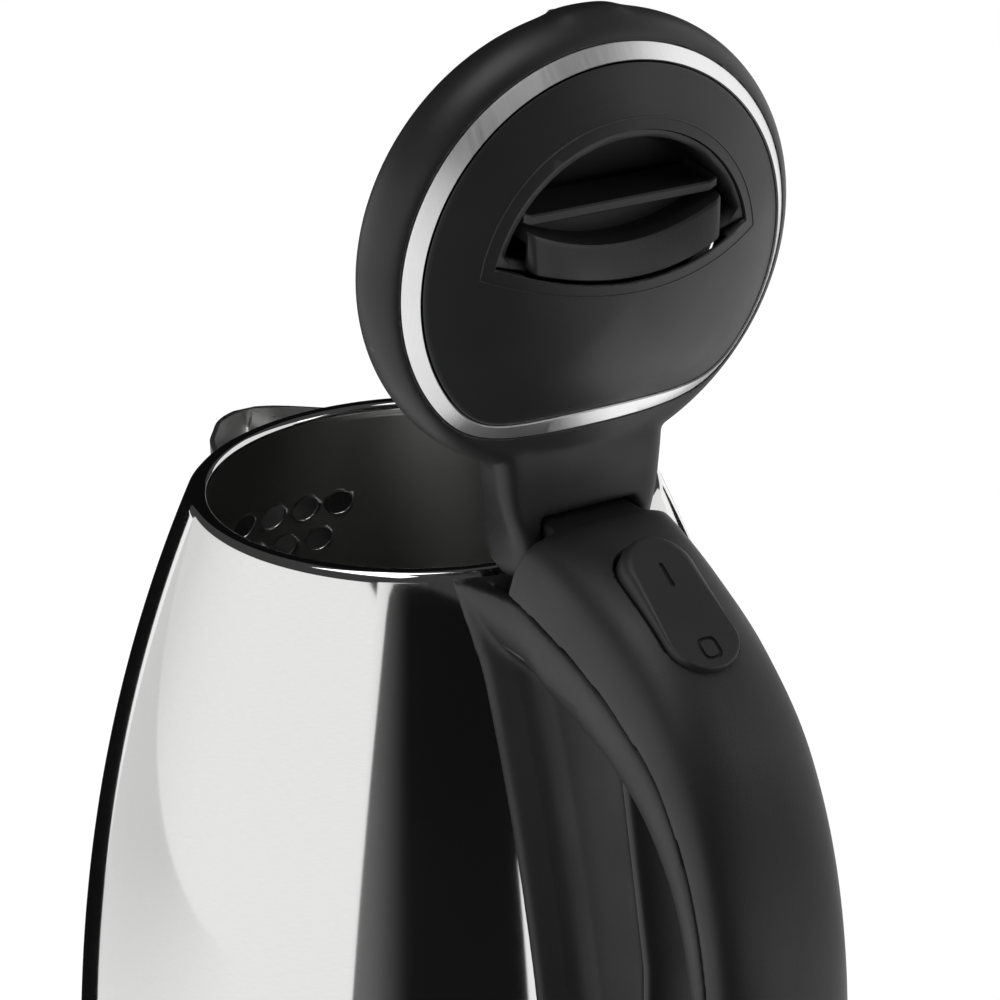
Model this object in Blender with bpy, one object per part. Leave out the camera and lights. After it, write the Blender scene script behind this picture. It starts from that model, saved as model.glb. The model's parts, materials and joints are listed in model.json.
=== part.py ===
"""Cordless electric kettle: steel jug, black D handle with a rocker switch, domed hinged lid, power base.

World frame: +Z up, origin on the jug's axis at the plane that the base stands on, handle towards +X, spout
towards -X, mirror plane Y = 0.  Lengths below are in millimetres and angles in degrees.
"""
import bpy
import bmesh
from math import acos, cos, hypot, pi, radians, sin, sqrt
from mathutils import Matrix, Vector

MM = 0.001            # metres in one millimetre
GAP = 0.3             # clearance between pieces that touch

# Jug
RIM_Z = 205.0         # height of the mouth's rim
MOUTH_R = 43.0        # clear radius of the mouth
NECK_R = 46.7         # outer radius of the steel at the rim
BELLY_R = 78.0        # outer radius that the steel swells to
SWELL_DEPTH = 180.0   # depth below the rim over which it swells
SWELL_POWER = 2.6
WALL = 0.7
BEAD_R = 1.9          # rolled rim
BEAD_DEPTH = 1.6
STEEL_FOOT_Z = 38.3   # lower edge of the steel
JUG_SEGMENTS = 48

# Strainer
HOLE_R = 3.0
HOLE_ROWS = ((-27.0, 4), (-36.0, 3), (-45.0, 2), (-53.0, 1))
HOLE_PITCH = 8.0      # degrees round the jug
STRAINER_TURN = 182.5

# Power base
BASE_R = 79.5
BASE_TOP_Z = 19.5
POST_R = 14.5
POST_TOP_Z = 31.0
JUG_FOOT_Z = BASE_TOP_Z + GAP
CORD_Z = 8.5          # height of the cord's outlet
SCREW_TURNS = (60, 180, 300)    # where the three bosses of the base and of the jug's floor stand, in degrees

# Hinge of the lid, from the rim's plane
HINGE_X = 56.0
HINGE_Z = RIM_Z + 8.5
LID_OPEN = 96.5       # the lid stands this far open at rest
KNUCKLE_R = 6.1
NECK = ((-22.5, 17.8, 17.4, 1.4, -8.6), (-18, 17.6, 17.2, 2.4, -8.2), (-12, 17.0, 16.4, 3.4, -8.0),
        (-8, 16.0, 14.0, 4.6, -9.6), (-5, 15.0, 13.9, 5.3, -10.6), (-1, 13.9, 13.8, 6.0, -10.6),
        (2.5, 13.8, 13.8, 5.6, -10.0), (4.6, 13.7, 13.7, 4.0, -8.2), (5.9, 13.6, 13.6, 1.5, -4.5))
PIN_R = 1.5

# Lid, from the mouth's axis and the plane of the ring's inner edge
LID_PLANE_Z = RIM_Z + 13.5
LID_R = 42.65
RING_INNER_R = 36.2
RING_OUTER_R = 38.8
RING_INNER_FLAT = 28.5
RING_OUTER_FLAT = 31.8
RING_DROP = 2.3
FLAT_POWER = 14.0     # sharpness of the ring's two corners
DOME_H = 11.4
SHELL = 2.0
RECESS_R = 26.0
RECESS_EDGE = 0.9     # the recess's straight side, from the axis, at the middle
RECESS_CORNER = 5.5   # and at its two ends
RECESS_FLOOR = -7.0
RECESS_LIP = 4.8      # top of the recess's cup
CUP_INSET = 1.6       # from the recess's outline to the inside of the cup
LEVER_TRAVEL = 3.0
LEVER_HALF = 19.4
LEVER_STATIONS = (-1.0, -0.85, -0.6, -0.3, 0.0, 0.3, 0.6, 0.85, 1.0)
LEG_X = -9.5          # the leg that joins the lever to the latch's bolt
LID_SCREWS = ((-14.5, 15.5), (-14.5, -15.5))

# Rocker switch
ROCKER_X = 90.2
ROCKER_Z = RIM_Z + 7.9
ROCKER_SLOPE = 27.0   # fall of the grip's top under the rocker
ROCKER_LENGTH = 29.4
ROCKER_WIDTH = 14.2
ROCKER_TILT = 6.0
ROCKER_PIVOT = 7.0    # pivot below the surface

# Handle: three lines in the mirror plane, from the rim's plane: crown, shell seam and finger side
CROWN = ((46, 14.8), (54, 14.8), (62.6, 14.8), (70.5, 15.2), (84, 10.9), (100, 2.2), (114.4, -13),
         (124.3, -36), (128, -65), (125, -98), (110, -128), (90, -146), (60, -157))
SEAM = ((46, 0.0), (54, 1.0), (62.6, 1.4), (70, -0.6), (81, -3.8), (94, -9.6), (107, -19), (117, -38),
        (121.3, -66), (118, -98), (105, -122), (88, -136), (60, -144))
FINGER = ((46, -18.2), (54, -18.4), (62.6, -18.7), (69, -19.6), (78, -21.8), (89, -26), (98.5, -33),
          (107, -45), (112, -68), (109.5, -96), (99, -115), (85, -126), (60, -131))
HALF_WIDTH = (19.0, 18.2, 16.9, 16.4, 15.8, 15.2, 14.7, 14.2, 14.0, 14.0, 14.2, 14.5, 15.0)
ROUNDING = (0.3, 0.36, 0.5, 0.62, 0.68, 0.68, 0.68, 0.68, 0.68, 0.68, 0.68, 0.68, 0.68)
CROWN_START = 2       # the crown's shell starts at this knot, behind the lid's hinge
HANDLE_WALL = 2.4
SPINE_TOP = -17.0
SPINE_FOOT = -134.0
SPINE_HALF = 17.0
SPINE_BACK_HALF = 7.4
STATIONS = 3          # stations in each span of a handle line


# ---------------------------------------------------------------- scene and mesh helpers
def clear_scene():
    for thing in list(bpy.data.objects):
        bpy.data.objects.remove(thing, do_unlink=True)


def make_material(name, colour, roughness, metallic=0.0):
    material = bpy.data.materials.new(name)
    material.use_nodes = True
    shader = material.node_tree.nodes["Principled BSDF"]
    shader.inputs["Base Color"].default_value = (*colour, 1.0)
    shader.inputs["Roughness"].default_value = roughness
    shader.inputs["Metallic"].default_value = metallic
    material.diffuse_color = (*colour, 1.0)
    return material


def make_object(name, shape, material, origin=(0, 0, 0), parent=None, sharp=35):
    """One object from (points, faces) in millimetres; origin is where the object turns or slides from."""
    points, faces = shape
    mesh = bpy.data.meshes.new(name)
    shift = Vector(origin)
    mesh.from_pydata([(Vector(point) - shift) * MM for point in points], [], faces)
    cage = bmesh.new()
    cage.from_mesh(mesh)
    bmesh.ops.remove_doubles(cage, verts=cage.verts, dist=1e-6)
    bmesh.ops.recalc_face_normals(cage, faces=cage.faces)
    cage.to_mesh(mesh)
    cage.free()
    mesh.shade_smooth()
    mesh.set_sharp_from_angle(angle=radians(sharp))
    mesh.materials.append(material)
    thing = bpy.data.objects.new(name, mesh)
    thing.location = shift * MM
    thing.parent = parent
    bpy.context.scene.collection.objects.link(thing)
    return thing


def make_empty(name, place, tilt=0.0, parent=None):
    """An empty at place, turned about Y by tilt."""
    empty = bpy.data.objects.new(name, None)
    empty.location = Vector(place) * MM
    empty.rotation_euler = (0.0, radians(tilt), 0.0)
    empty.parent = parent
    bpy.context.scene.collection.objects.link(empty)
    return empty


def cut(target, shape, origin=(0, 0, 0)):
    """Subtracts a shape, given in the target's own frame, from the target."""
    cutter = make_object(target.name + "_cutter", shape, target.data.materials[0], origin, target.parent)
    cutter.hide_render = True
    cutter.display_type = "WIRE"
    change = target.modifiers.new("cut", "BOOLEAN")
    change.operation = "DIFFERENCE"
    change.solver = "EXACT"
    change.object = cutter
    return cutter


def join(target, shape, origin=(0, 0, 0)):
    """Unites a shape, given in the target's own frame, with the target."""
    adder = cut(target, shape, origin)
    target.modifiers[-1].operation = "UNION"
    return adder


# ---------------------------------------------------------------- shapes, as (points, faces)
def turned(profile, segments=48):
    """A closed outline of (radius, height), or a function of the angle that gives one, turned about Z."""
    at_angle = profile if callable(profile) else (lambda angle: profile)
    count = len(at_angle(0.0))
    points = []
    for step in range(segments):
        angle = 2 * pi * step / segments
        points += [(r * cos(angle), r * sin(angle), z) for r, z in at_angle(angle)]
    faces = []
    for step in range(segments):
        here, there = step * count, (step + 1) % segments * count
        for index in range(count):
            after = (index + 1) % count
            if hypot(*points[here + index][:2]) < 1e-9 and hypot(*points[here + after][:2]) < 1e-9:
                continue
            faces.append((here + index, there + index, there + after, here + after))
    return points, faces


def lofted(sections):
    """Closed sections joined in order, with flat ends."""
    count = len(sections[0])
    points = [tuple(point) for section in sections for point in section]
    faces = []
    for span in range(len(sections) - 1):
        here, there = span * count, (span + 1) * count
        for index in range(count):
            after = (index + 1) % count
            faces.append((here + index, here + after, there + after, there + index))
    faces.append(tuple(range(count)))
    faces.append(tuple(range((len(sections) - 1) * count, len(sections) * count)))
    return points, faces


def prism(outline, low, high):
    """An outline of (x, y) extruded from low to high along Z."""
    return lofted([[(x, y, low) for x, y in outline], [(x, y, high) for x, y in outline]])


def slab(outline, side, other_side):
    """An outline of (x, z) extruded along Y."""
    return lofted([[(x, side, z) for x, z in outline], [(x, other_side, z) for x, z in outline]])


def moved(shape, matrix):
    points, faces = shape
    return [tuple(matrix @ Vector(point)) for point in points], faces


def merged(*shapes):
    """Several shapes that don't touch, as one."""
    points, faces = [], []
    for more_points, more_faces in shapes:
        base = len(points)
        points += more_points
        faces += [[base + corner for corner in face] for face in more_faces]
    return points, faces


def arc(centre_r, centre_z, radius_r, radius_z, start, end, steps):
    """Points of an elliptic arc in the (radius, height) plane."""
    angles = [radians(start + (end - start) * step / steps) for step in range(steps + 1)]
    return [(centre_r + radius_r * cos(angle), centre_z + radius_z * sin(angle)) for angle in angles]


def disc(radius, low, high, hole=0.0):
    return [(hole, low), (radius, low), (radius, high), (hole, high)]


def circle(radius, steps=24):
    return [(radius * cos(2 * pi * k / steps), radius * sin(2 * pi * k / steps)) for k in range(steps)]


def stadium(length, width, steps=8):
    """A slot outline along X."""
    run = (length - width) / 2
    half = width / 2
    ends = []
    for centre, start in ((run, -90), (-run, 90)):
        angles = [radians(start + 180 * step / steps) for step in range(steps + 1)]
        ends += [(centre + half * cos(angle), half * sin(angle)) for angle in angles]
    return ends


def rod(start, end, radius, steps=12):
    """A round bar between two points."""
    start, end = Vector(start), Vector(end)
    turn = (end - start).to_track_quat("Z", "Y").to_matrix().to_4x4()
    return moved(prism(circle(radius, steps), 0.0, (end - start).length), Matrix.Translation(start) @ turn)


def coil(radius, wire, turns, pitch, steps=10, sides=6):
    """A wire helix about Z that starts at height 0."""
    sections = []
    for step in range(int(turns * steps) + 1):
        angle = 2 * pi * step / steps
        centre = Vector((radius * cos(angle), radius * sin(angle), pitch * angle / (2 * pi)))
        out = Vector((cos(angle), sin(angle), 0.0))
        along = Vector((-sin(angle) * radius, cos(angle) * radius, pitch / (2 * pi))).normalized()
        up = out.cross(along)
        ring = [2 * pi * side / sides for side in range(sides)]
        sections.append([centre + wire * (cos(a) * out + sin(a) * up) for a in ring])
    return lofted(sections)


def screw(length, head_r=3.0, shank_r=1.4, head_h=1.8):
    """A pan-head screw with its head at height 0 and its tip below."""
    return turned([(0, 0), (head_r * 0.8, 0), (head_r, -0.5), (head_r, -head_h), (shank_r, -head_h),
                   (shank_r, -length + 1), (0, -length)], 12)


def smooth_line(knots, steps):
    """A Catmull-Rom line through the knots."""
    line = []
    for span in range(len(knots) - 1):
        around = [knots[max(0, min(len(knots) - 1, span + shift))] for shift in (-1, 0, 1, 2)]
        before, start, end, after = [Vector(knot) for knot in around]
        for step in range(steps):
            t = step / steps
            slope, bend = end - before, 2 * before - 5 * start + 4 * end - after
            twist = 3 * start - before - 3 * end + after
            line.append(0.5 * (2 * start + slope * t + bend * t * t + twist * t ** 3))
    line.append(Vector(knots[-1]))
    return line


# ---------------------------------------------------------------- the jug's wall
def wall_r(depth, inset=0.0):
    """Outer radius of the steel at a depth below the rim, less an inset."""
    left = max(0.0, 1 - max(0.0, depth) / SWELL_DEPTH)
    return BELLY_R - (BELLY_R - NECK_R) * left ** SWELL_POWER - inset


def jug_space(inset, top=30.0):
    """The solid of revolution that the jug's outside fills, grown by -inset."""
    depths = [0, 3, 7, 12, 19, 28, 40, 55, 75, 100, 130, 166, 190]
    side = [(wall_r(depth, inset), RIM_Z - depth) for depth in depths]
    return turned([(0, RIM_Z + top), (side[0][0], RIM_Z + top)] + side + [(0, side[-1][1])], JUG_SEGMENTS)


def jug_shell_shape():
    depths = [3.1, 7, 12, 19, 28, 40, 55, 75, 100, 130, RIM_Z - STEEL_FOOT_Z]
    outside = [(wall_r(depth), RIM_Z - depth) for depth in depths]
    inside = [(wall_r(depth, WALL), RIM_Z - depth - 0.4) for depth in depths[:-1]]
    inside.append((wall_r(depths[-1], WALL), RIM_Z - depths[-1]))
    bead = arc(MOUTH_R + BEAD_R, RIM_Z - BEAD_DEPTH, BEAD_R, BEAD_R, 210, -30, 8)
    return turned(bead + outside + inside[::-1], JUG_SEGMENTS)


def strainer_cutters():
    drills = []
    for depth, count in HOLE_ROWS:
        for index in range(count):
            angle = radians(STRAINER_TURN + (index - (count - 1) / 2) * HOLE_PITCH)
            out = Vector((cos(angle), sin(angle), 0.0))
            middle = out * wall_r(-depth, WALL / 2) + Vector((0, 0, RIM_Z + depth))
            drills.append(rod(middle - out * 6, middle + out * 6, HOLE_R))
    return merged(*drills)


def build_jug(steel, brushed, black, rubber, alloy):
    shell = make_object("jug_shell", jug_shell_shape(), steel)
    cut(shell, strainer_cutters())
    build_spout(brushed)
    collar_r = wall_r(RIM_Z - STEEL_FOOT_Z)
    make_object("foot_ring", turned([
        (collar_r - 4, JUG_FOOT_Z), (collar_r - 1.2, JUG_FOOT_Z), (collar_r, JUG_FOOT_Z + 2),
        (collar_r, STEEL_FOOT_Z - GAP), (collar_r - 4, STEEL_FOOT_Z - GAP)], JUG_SEGMENTS), black)
    make_object("heater_seal", turned([
        (72.3, 39.5), (76.4, 39.5), (76.4, 44), (70.5, 44), (70.5, 42.8), (72.3, 42.8)]), rubber)
    make_object("heater_plate", turned(disc(72.0, 41.6, 42.5)), steel)
    make_object("heat_spreader", turned(disc(52.0, 37.6, 41.0)), alloy)
    make_object("heating_element", heater_loop(40.0, 3.5, 33.8), alloy)
    build_connector(black)
    cover = make_object("bottom_cover", turned(disc(73.4, 22.6, 24.6, 22.6)), black)
    holes = []
    for index, turn in enumerate(SCREW_TURNS):
        place = Vector((62 * cos(radians(turn)), 62 * sin(radians(turn)), 0))
        holes.append(rod(place + Vector((0, 0, 20)), place + Vector((0, 0, 25)), 1.8))
        boss = turned([(1.8, 24.9), (3.6, 24.9), (3.6, 39.0), (1.8, 39.0)], 12)
        screw_shape = moved(screw(14, 3.2, 1.5), Matrix.Translation(place + Vector((0, 0, 20.5)))
                            @ Matrix.Diagonal((1, 1, -1, 1)))
        make_object(f"cover_screw_{index + 1}", screw_shape, alloy)
        make_object(f"cover_boss_{index + 1}", moved(boss, Matrix.Translation(place)), black)
    cut(cover, merged(*holes))


def heater_loop(radius, tube_r, height, sides=8, steps=30):
    """The tubular element: an open ring that leaves a gap for its two ends."""
    up = Vector((0, 0, 1))
    rings = []
    for step in range(steps + 1):
        angle = radians(30 + 300 * step / steps)
        out = Vector((cos(angle), sin(angle), 0))
        around = [2 * pi * side / sides for side in range(sides)]
        rings.append([out * radius + up * height + tube_r * (cos(a) * out + sin(a) * up) for a in around])
    return lofted(rings)


def build_connector(black):
    """The round socket in the jug's floor that drops over the base's post."""
    make_object("jug_connector", turned([
        (POST_R + 0.8, 21.4), (22.2, 21.4), (22.2, 36.0), (0, 36.0), (0, POST_TOP_Z + 1.5),
        (POST_R + 0.8, POST_TOP_Z + 1.5)]), black)


def beak_sections(inset, top_lift):
    """Half-round sections of the spout from inside the jug to its tip."""
    sections = []
    stations = ((-44, 25, -3.5, -74), (-54, 20.5, -6, -62), (-63, 16, -7.5, -47), (-71, 12.5, -9, -35),
                (-77, 9.8, -10, -26.5), (-80.5, 7, -10.5, -21), (-82.3, 3.8, -10.8, -17))
    for x, half, top, low in stations:
        half, low, x = max(half - inset, 0.6), low + inset * 1.4, x + (inset if x < -80 else 0)
        sweep = [radians(180 * step / 12) for step in range(13)]
        round_part = [(x, half * cos(a), RIM_Z + top - (top - low) * sin(a) ** 0.9) for a in sweep]
        if top_lift:
            round_part += [(x, -half, RIM_Z + top + top_lift), (x, half, RIM_Z + top + top_lift)]
        sections.append(round_part)
    return sections


def build_spout(brushed):
    spout = make_object("spout", lofted(beak_sections(0.0, 0.0)), brushed, sharp=50)
    cut(spout, lofted(beak_sections(1.2, 12.0)))
    cut(spout, jug_space(-GAP))


# ---------------------------------------------------------------- power base
def build_base(black, rubber, alloy, brass):
    housing = make_object("base_housing", turned([
        (75.2, 2.6), (77.2, 2.6), (BASE_R, 5), (BASE_R, 11), (BASE_R - 1.3, 16), (BASE_R - 4.5, BASE_TOP_Z),
        (17, BASE_TOP_Z), (17, 17), (73.5, 17), (76, 14.8), (77, 11), (77, 5.4)]), black)
    cut(housing, rod((-60, 0, CORD_Z), (-90, 0, CORD_Z), 4.9, 16))
    floor_plate = make_object("base_plate", turned([
        (0, 0), (12, 0), (12, 2.6), (74.8, 2.6), (74.8, 4.8), (0, 4.8)]), black)
    gland = turned([(3.2, 0), (6.6, 0), (6.6, 1.6), (4.5, 1.6), (4.5, 6.0), (3.2, 6.0)], 16)
    make_object("cord_gland", moved(gland, Matrix.Translation((-BASE_R - 1.9, 0, CORD_Z))
                                    @ Matrix.Rotation(radians(90), 4, "Y")), rubber)
    make_object("base_post", turned([
        (0, 9), (24, 9), (24, 16.6), (POST_R, 16.6), (POST_R, POST_TOP_Z - 1), (POST_R - 1, POST_TOP_Z),
        (11, POST_TOP_Z), (11, 17.5), (8.6, 17.5), (8.6, POST_TOP_Z), (5, POST_TOP_Z), (5, 17.5),
        (0, 17.5)]), black)
    make_object("live_ring", turned(disc(10.5, 17.8, 27, 9.1), 32), brass)
    make_object("earth_pin", turned([(0, 17.8), (2.2, 17.8), (2.2, 28), (1.2, 29.5), (0, 29.5)], 16), brass)
    holes = []
    for index in range(4):
        angle = radians(45 + 90 * index)
        place = Vector((64 * cos(angle), 64 * sin(angle), 0))
        foot = turned([(0, 0), (5.5, 0), (6, 0.6), (6, 2.3), (2, 2.3), (2, 6.0), (0, 6.0)], 16)
        make_object(f"base_foot_{index + 1}", moved(foot, Matrix.Translation(place)), rubber)
        holes.append(rod(place + Vector((0, 0, 1)), place + Vector((0, 0, 6)), 2.4))
    for index, turn in enumerate(SCREW_TURNS):
        place = Vector((50 * cos(radians(turn)), 50 * sin(radians(turn)), 0))
        boss = turned([(1.8, 5.1), (3.6, 5.1), (3.6, 16.6), (1.8, 16.6)], 12)
        make_object(f"base_boss_{index + 1}", moved(boss, Matrix.Translation(place)), black)
        screw_shape = moved(screw(11, 3.2, 1.5), Matrix.Translation(place + Vector((0, 0, 0.5)))
                            @ Matrix.Diagonal((1, 1, -1, 1)))
        make_object(f"base_screw_{index + 1}", screw_shape, alloy)
        holes.append(rod(place + Vector((0, 0, 1)), place + Vector((0, 0, 6)), 1.8))
    cut(floor_plate, merged(*holes))


# ---------------------------------------------------------------- handle
def handle_lines():
    """Crown, seam, finger side, half width and rounding at every station, in millimetres above the ground."""
    lines = []
    for knots in (CROWN, SEAM, FINGER):
        lines.append([Vector((p.x, p.y + RIM_Z)) for p in smooth_line(knots, STATIONS)])
    for values in (HALF_WIDTH, ROUNDING):
        lines.append([value.x for value in smooth_line([(value, 0) for value in values], STATIONS)])
    return list(zip(*lines))


def bowed(base, tip, half, power, steps=8):
    """Half a rounded section: from +half to -half at the base, bulging to the tip."""
    section = []
    for step in range(steps + 1):
        angle = pi * step / steps
        side = (1 if cos(angle) >= 0 else -1) * abs(cos(angle)) ** power
        rise = abs(sin(angle)) ** power
        place = base + (tip - base) * rise
        section.append(Vector((place.x, half * side, place.y)))
    return section


def channel_sections(stations, tip_index):
    """U sections of one handle shell, between the seam and the crown (tip_index 0) or the finger side (2)."""
    sections = []
    for station in stations:
        seam, tip, half, power = station[1], station[tip_index], station[3], station[4]
        toward = (tip - seam).normalized()
        base = seam + toward * (GAP / 2)
        outer = bowed(base, tip, half, power)
        inner = bowed(base, tip - toward * HANDLE_WALL, half - HANDLE_WALL, power)
        sections.append(outer + inner[::-1])
    return sections


def finger_gap_outline():
    """The D between the grip and the jug, in the mirror plane, a gap inside the grip's finger side."""
    line = [station[2] for station in handle_lines()]
    middle = Vector((80, RIM_Z - 70))
    inset = [point + (middle - point).normalized() * (2 * GAP) for point in line]
    return [(40, inset[0].y)] + [(point.x, point.y) for point in inset] + [(40, inset[-1].y)]


def build_handle(black, alloy, spring_steel):
    stations = handle_lines()
    crown = stations[CROWN_START * STATIONS:]
    outer = make_object("grip_outer_shell", lofted(channel_sections(crown, 0)), black, sharp=50)
    top, seam, _, half, power = crown[0]
    face = bowed(seam + Vector((0, GAP / 2)), top - Vector((0, 0.2)), half - 0.2, power)
    join(outer, lofted([[point + Vector((depth, 0, 0)) for point in face] for depth in (0.05, HANDLE_WALL)]))
    cut(outer, jug_space(-GAP, 0.0))
    slope = Matrix.Translation((ROCKER_X, 0, ROCKER_Z)) @ Matrix.Rotation(radians(ROCKER_SLOPE), 4, "Y")
    cut(outer, moved(prism(stadium(ROCKER_LENGTH + 1.6, ROCKER_WIDTH + 1.0), -9, 9), slope))
    inner = make_object("grip_inner_shell", lofted(channel_sections(stations, 2)), black, sharp=50)
    cut(inner, jug_space(-GAP))
    build_hinge_mount(black, spring_steel)
    build_spine(black)
    build_switch(black, alloy, slope)
    for name, x, z in (("top", 69, -3), ("bottom", 84, -133)):
        shape = moved(screw(12, 2.6, 1.3), Matrix.Translation((x, 0, RIM_Z + z)))
        make_object(f"handle_screw_{name}", shape, alloy)


def build_hinge_mount(black, spring_steel):
    """The block between the shells that carries the lid's hinge pin."""
    floor, low, back = RIM_Z - 4.2, RIM_Z - 11.0, 62.2
    block = slab([(40, low), (back, low), (back, floor), (40, floor)], -13.2, 13.2)
    mount = make_object("hinge_mount", block, black)
    hump = [(back, floor - 2), (back, HINGE_Z + KNUCKLE_R)]
    hump += arc(HINGE_X, HINGE_Z, KNUCKLE_R, KNUCKLE_R, 90, 200, 8)
    hump.append((HINGE_X - KNUCKLE_R + 2.0, floor - 2))
    join(mount, slab(hump, -9.4, 9.4))
    cut(mount, rod((HINGE_X, -20, HINGE_Z), (HINGE_X, 20, HINGE_Z), PIN_R + GAP))
    cut(mount, rod((HINGE_X, -4, HINGE_Z), (HINGE_X, 4, HINGE_Z), 4.4, 16))
    cut(mount, jug_space(-GAP))
    make_object("hinge_pin", rod((HINGE_X, -13.0, HINGE_Z), (HINGE_X, 13.0, HINGE_Z), PIN_R), black)
    along_pin = Matrix.Translation((HINGE_X, 3.2, HINGE_Z)) @ Matrix.Rotation(radians(90), 4, "X")
    make_object("hinge_spring", moved(coil(3.0, 0.6, 4, 1.6), along_pin), spring_steel)


def spine_back(depth):
    """How far the spine's sides reach from the axis at a depth below the rim."""
    return 81.5 + 9.3 * min(1.0, (depth + SPINE_TOP) / 46.0)


def build_spine(black):
    """The rib that runs down the jug: two sides on a flange, closed on the finger side by a cover."""
    count = 10
    depths = [-(SPINE_TOP + (SPINE_FOOT - SPINE_TOP) * step / count) for step in range(count + 1)]
    halves, covers = [], []
    for depth in depths:
        flange, back = wall_r(depth), spine_back(depth)
        halves.append([
            (flange - 4, SPINE_HALF), (flange - 0.6, SPINE_HALF), (flange + 2.0, SPINE_HALF - 3.6),
            (back, SPINE_BACK_HALF), (back, SPINE_BACK_HALF - 2.2), (flange + 2.0, SPINE_HALF - 6.0),
            (flange - 4, SPINE_HALF - 6.0)])
        rim, back = SPINE_BACK_HALF, back + GAP
        covers.append([
            (back, rim), (back + 1.6, rim - 0.9), (back + 2.6, rim - 3.4), (back + 2.6, 3.4 - rim),
            (back + 1.6, 0.9 - rim), (back, -rim)])
    mirrored = [[(x, -y) for x, y in half] for half in halves]
    shapes = {"spine_side_left": mirrored, "spine_side_right": halves, "spine_cover": covers}
    for name, outlines in shapes.items():
        piece = make_object(name, lofted([[(x, y, RIM_Z - depth) for x, y in outline]
                                          for outline, depth in zip(outlines, depths)]), black)
        trim = join(piece, slab(finger_gap_outline(), -25, 25))
        piece.modifiers[-1].operation = "INTERSECT"
        trim.name = name + "_trim"
        cut(piece, jug_space(-GAP))


def build_switch(black, alloy, slope):
    pivot_place = slope @ Vector((0, 0, -ROCKER_PIVOT))
    pivot = make_empty("rocker_axis", pivot_place, ROCKER_SLOPE)
    rest = Matrix.Rotation(radians(ROCKER_TILT), 4, "Y")
    face = ROCKER_PIVOT + 1.6
    raised = [(x + 0.9, y * (1 - 3.2 / ROCKER_WIDTH)) for x, y in stadium(ROCKER_LENGTH - 2.2, ROCKER_WIDTH)]
    blade = lofted([[(x, y, -1.5) for x, y in stadium(ROCKER_LENGTH, ROCKER_WIDTH)],
                    [(x, y, ROCKER_PIVOT - 1.6) for x, y in stadium(ROCKER_LENGTH, ROCKER_WIDTH)],
                    [(x, y, face) for x, y in raised]])
    rocker = make_object("rocker", moved(blade, rest), black, parent=pivot)
    join(rocker, moved(slab([(-2.5, -5.5), (2.5, -5.5), (4.5, -1), (-4.5, -1)], -4, 4), rest))
    cut(rocker, rod((0, -12, 0), (0, 12, 0), 1.5))
    pin = rod((0, -9.0, -ROCKER_PIVOT), (0, 9.0, -ROCKER_PIVOT), 1.2)
    make_object("rocker_pin", moved(pin, slope), alloy)
    surround = prism(stadium(ROCKER_LENGTH + 4.2, ROCKER_WIDTH + 4.4), -12, -5.4)
    frame = make_object("switch_frame", moved(surround, slope), black)
    cut(frame, moved(prism(stadium(ROCKER_LENGTH + 1.6, ROCKER_WIDTH + 1.4), -14, -2), slope))
    cut(frame, moved(rod((0, -12, -ROCKER_PIVOT), (0, 12, -ROCKER_PIVOT), 1.5), slope))
    body = [(-7, -23.8), (15, -23.8), (15, -14.6), (-7, -14.6)]
    make_object("switch_body", moved(slab(body, -6, 6), slope), black)
    snap_disc = turned([(0, -24.8), (8.0, -25.2), (8.0, -24.6), (0, -24.1)], 20)
    make_object("steam_disc", moved(snap_disc, slope @ Matrix.Translation((4, 0, 0))), alloy)


# ---------------------------------------------------------------- lid, built closed, stood open by its empty
def flat_round(angle, radius, flat):
    """Radius of a circle with a rounded flat towards +X."""
    facing = max(cos(angle), 1e-6)
    return (radius ** -FLAT_POWER + (flat / facing) ** -FLAT_POWER) ** (-1 / FLAT_POWER)


def lid_frame(shape):
    """From the mouth's axis and the ring's plane to the hinge's frame."""
    return moved(shape, Matrix.Translation((-HINGE_X, 0, LID_PLANE_Z - HINGE_Z)))


def cap_profile(angle):
    seat = flat_round(angle, RING_OUTER_R, RING_OUTER_FLAT)
    lip = flat_round(angle, RING_INNER_R, RING_INNER_FLAT)
    edge = seat + GAP
    shoulder = arc(LID_R - 6.3, -9.15, 6.3, 7.6, 64, 0, 6)
    lower = arc(LID_R - 6.15, -9.15, 6.15, 8.4, -20, -76, 4)
    inside = arc(LID_R - 8.3, -9.15, 6.3, 6.6, -65, 50, 6)
    return ([(lip - 3.0, -1.3), (lip - 0.5, -1.3), (edge - 0.9, -RING_DROP - 1.3), (edge, -RING_DROP - 0.2)]
            + shoulder + lower + [(36.0, -17.4)] + inside + [(lip - 3.0, -3.4)])


def neck_sections():
    """Rounded sections of the arm between the lid and its hinge, from the hinge's axis."""
    sections = []
    for x, top_half, low_half, top, low in NECK:
        outline = []
        for side, rise, start in ((1, 1, 0), (-1, 1, 90), (-1, -1, 180), (1, -1, 270)):
            half, corner = (top_half, 3.2) if rise > 0 else (low_half, 1.8)
            corner = min(corner, (top - low) * 0.4)
            y, z = side * (half - corner), (top if rise > 0 else low) - rise * corner
            angles = [radians(start + 30 * step) for step in range(4)]
            outline += [(x, y + corner * cos(a), z + corner * sin(a)) for a in angles]
        sections.append(outline)
    return sections


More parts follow.
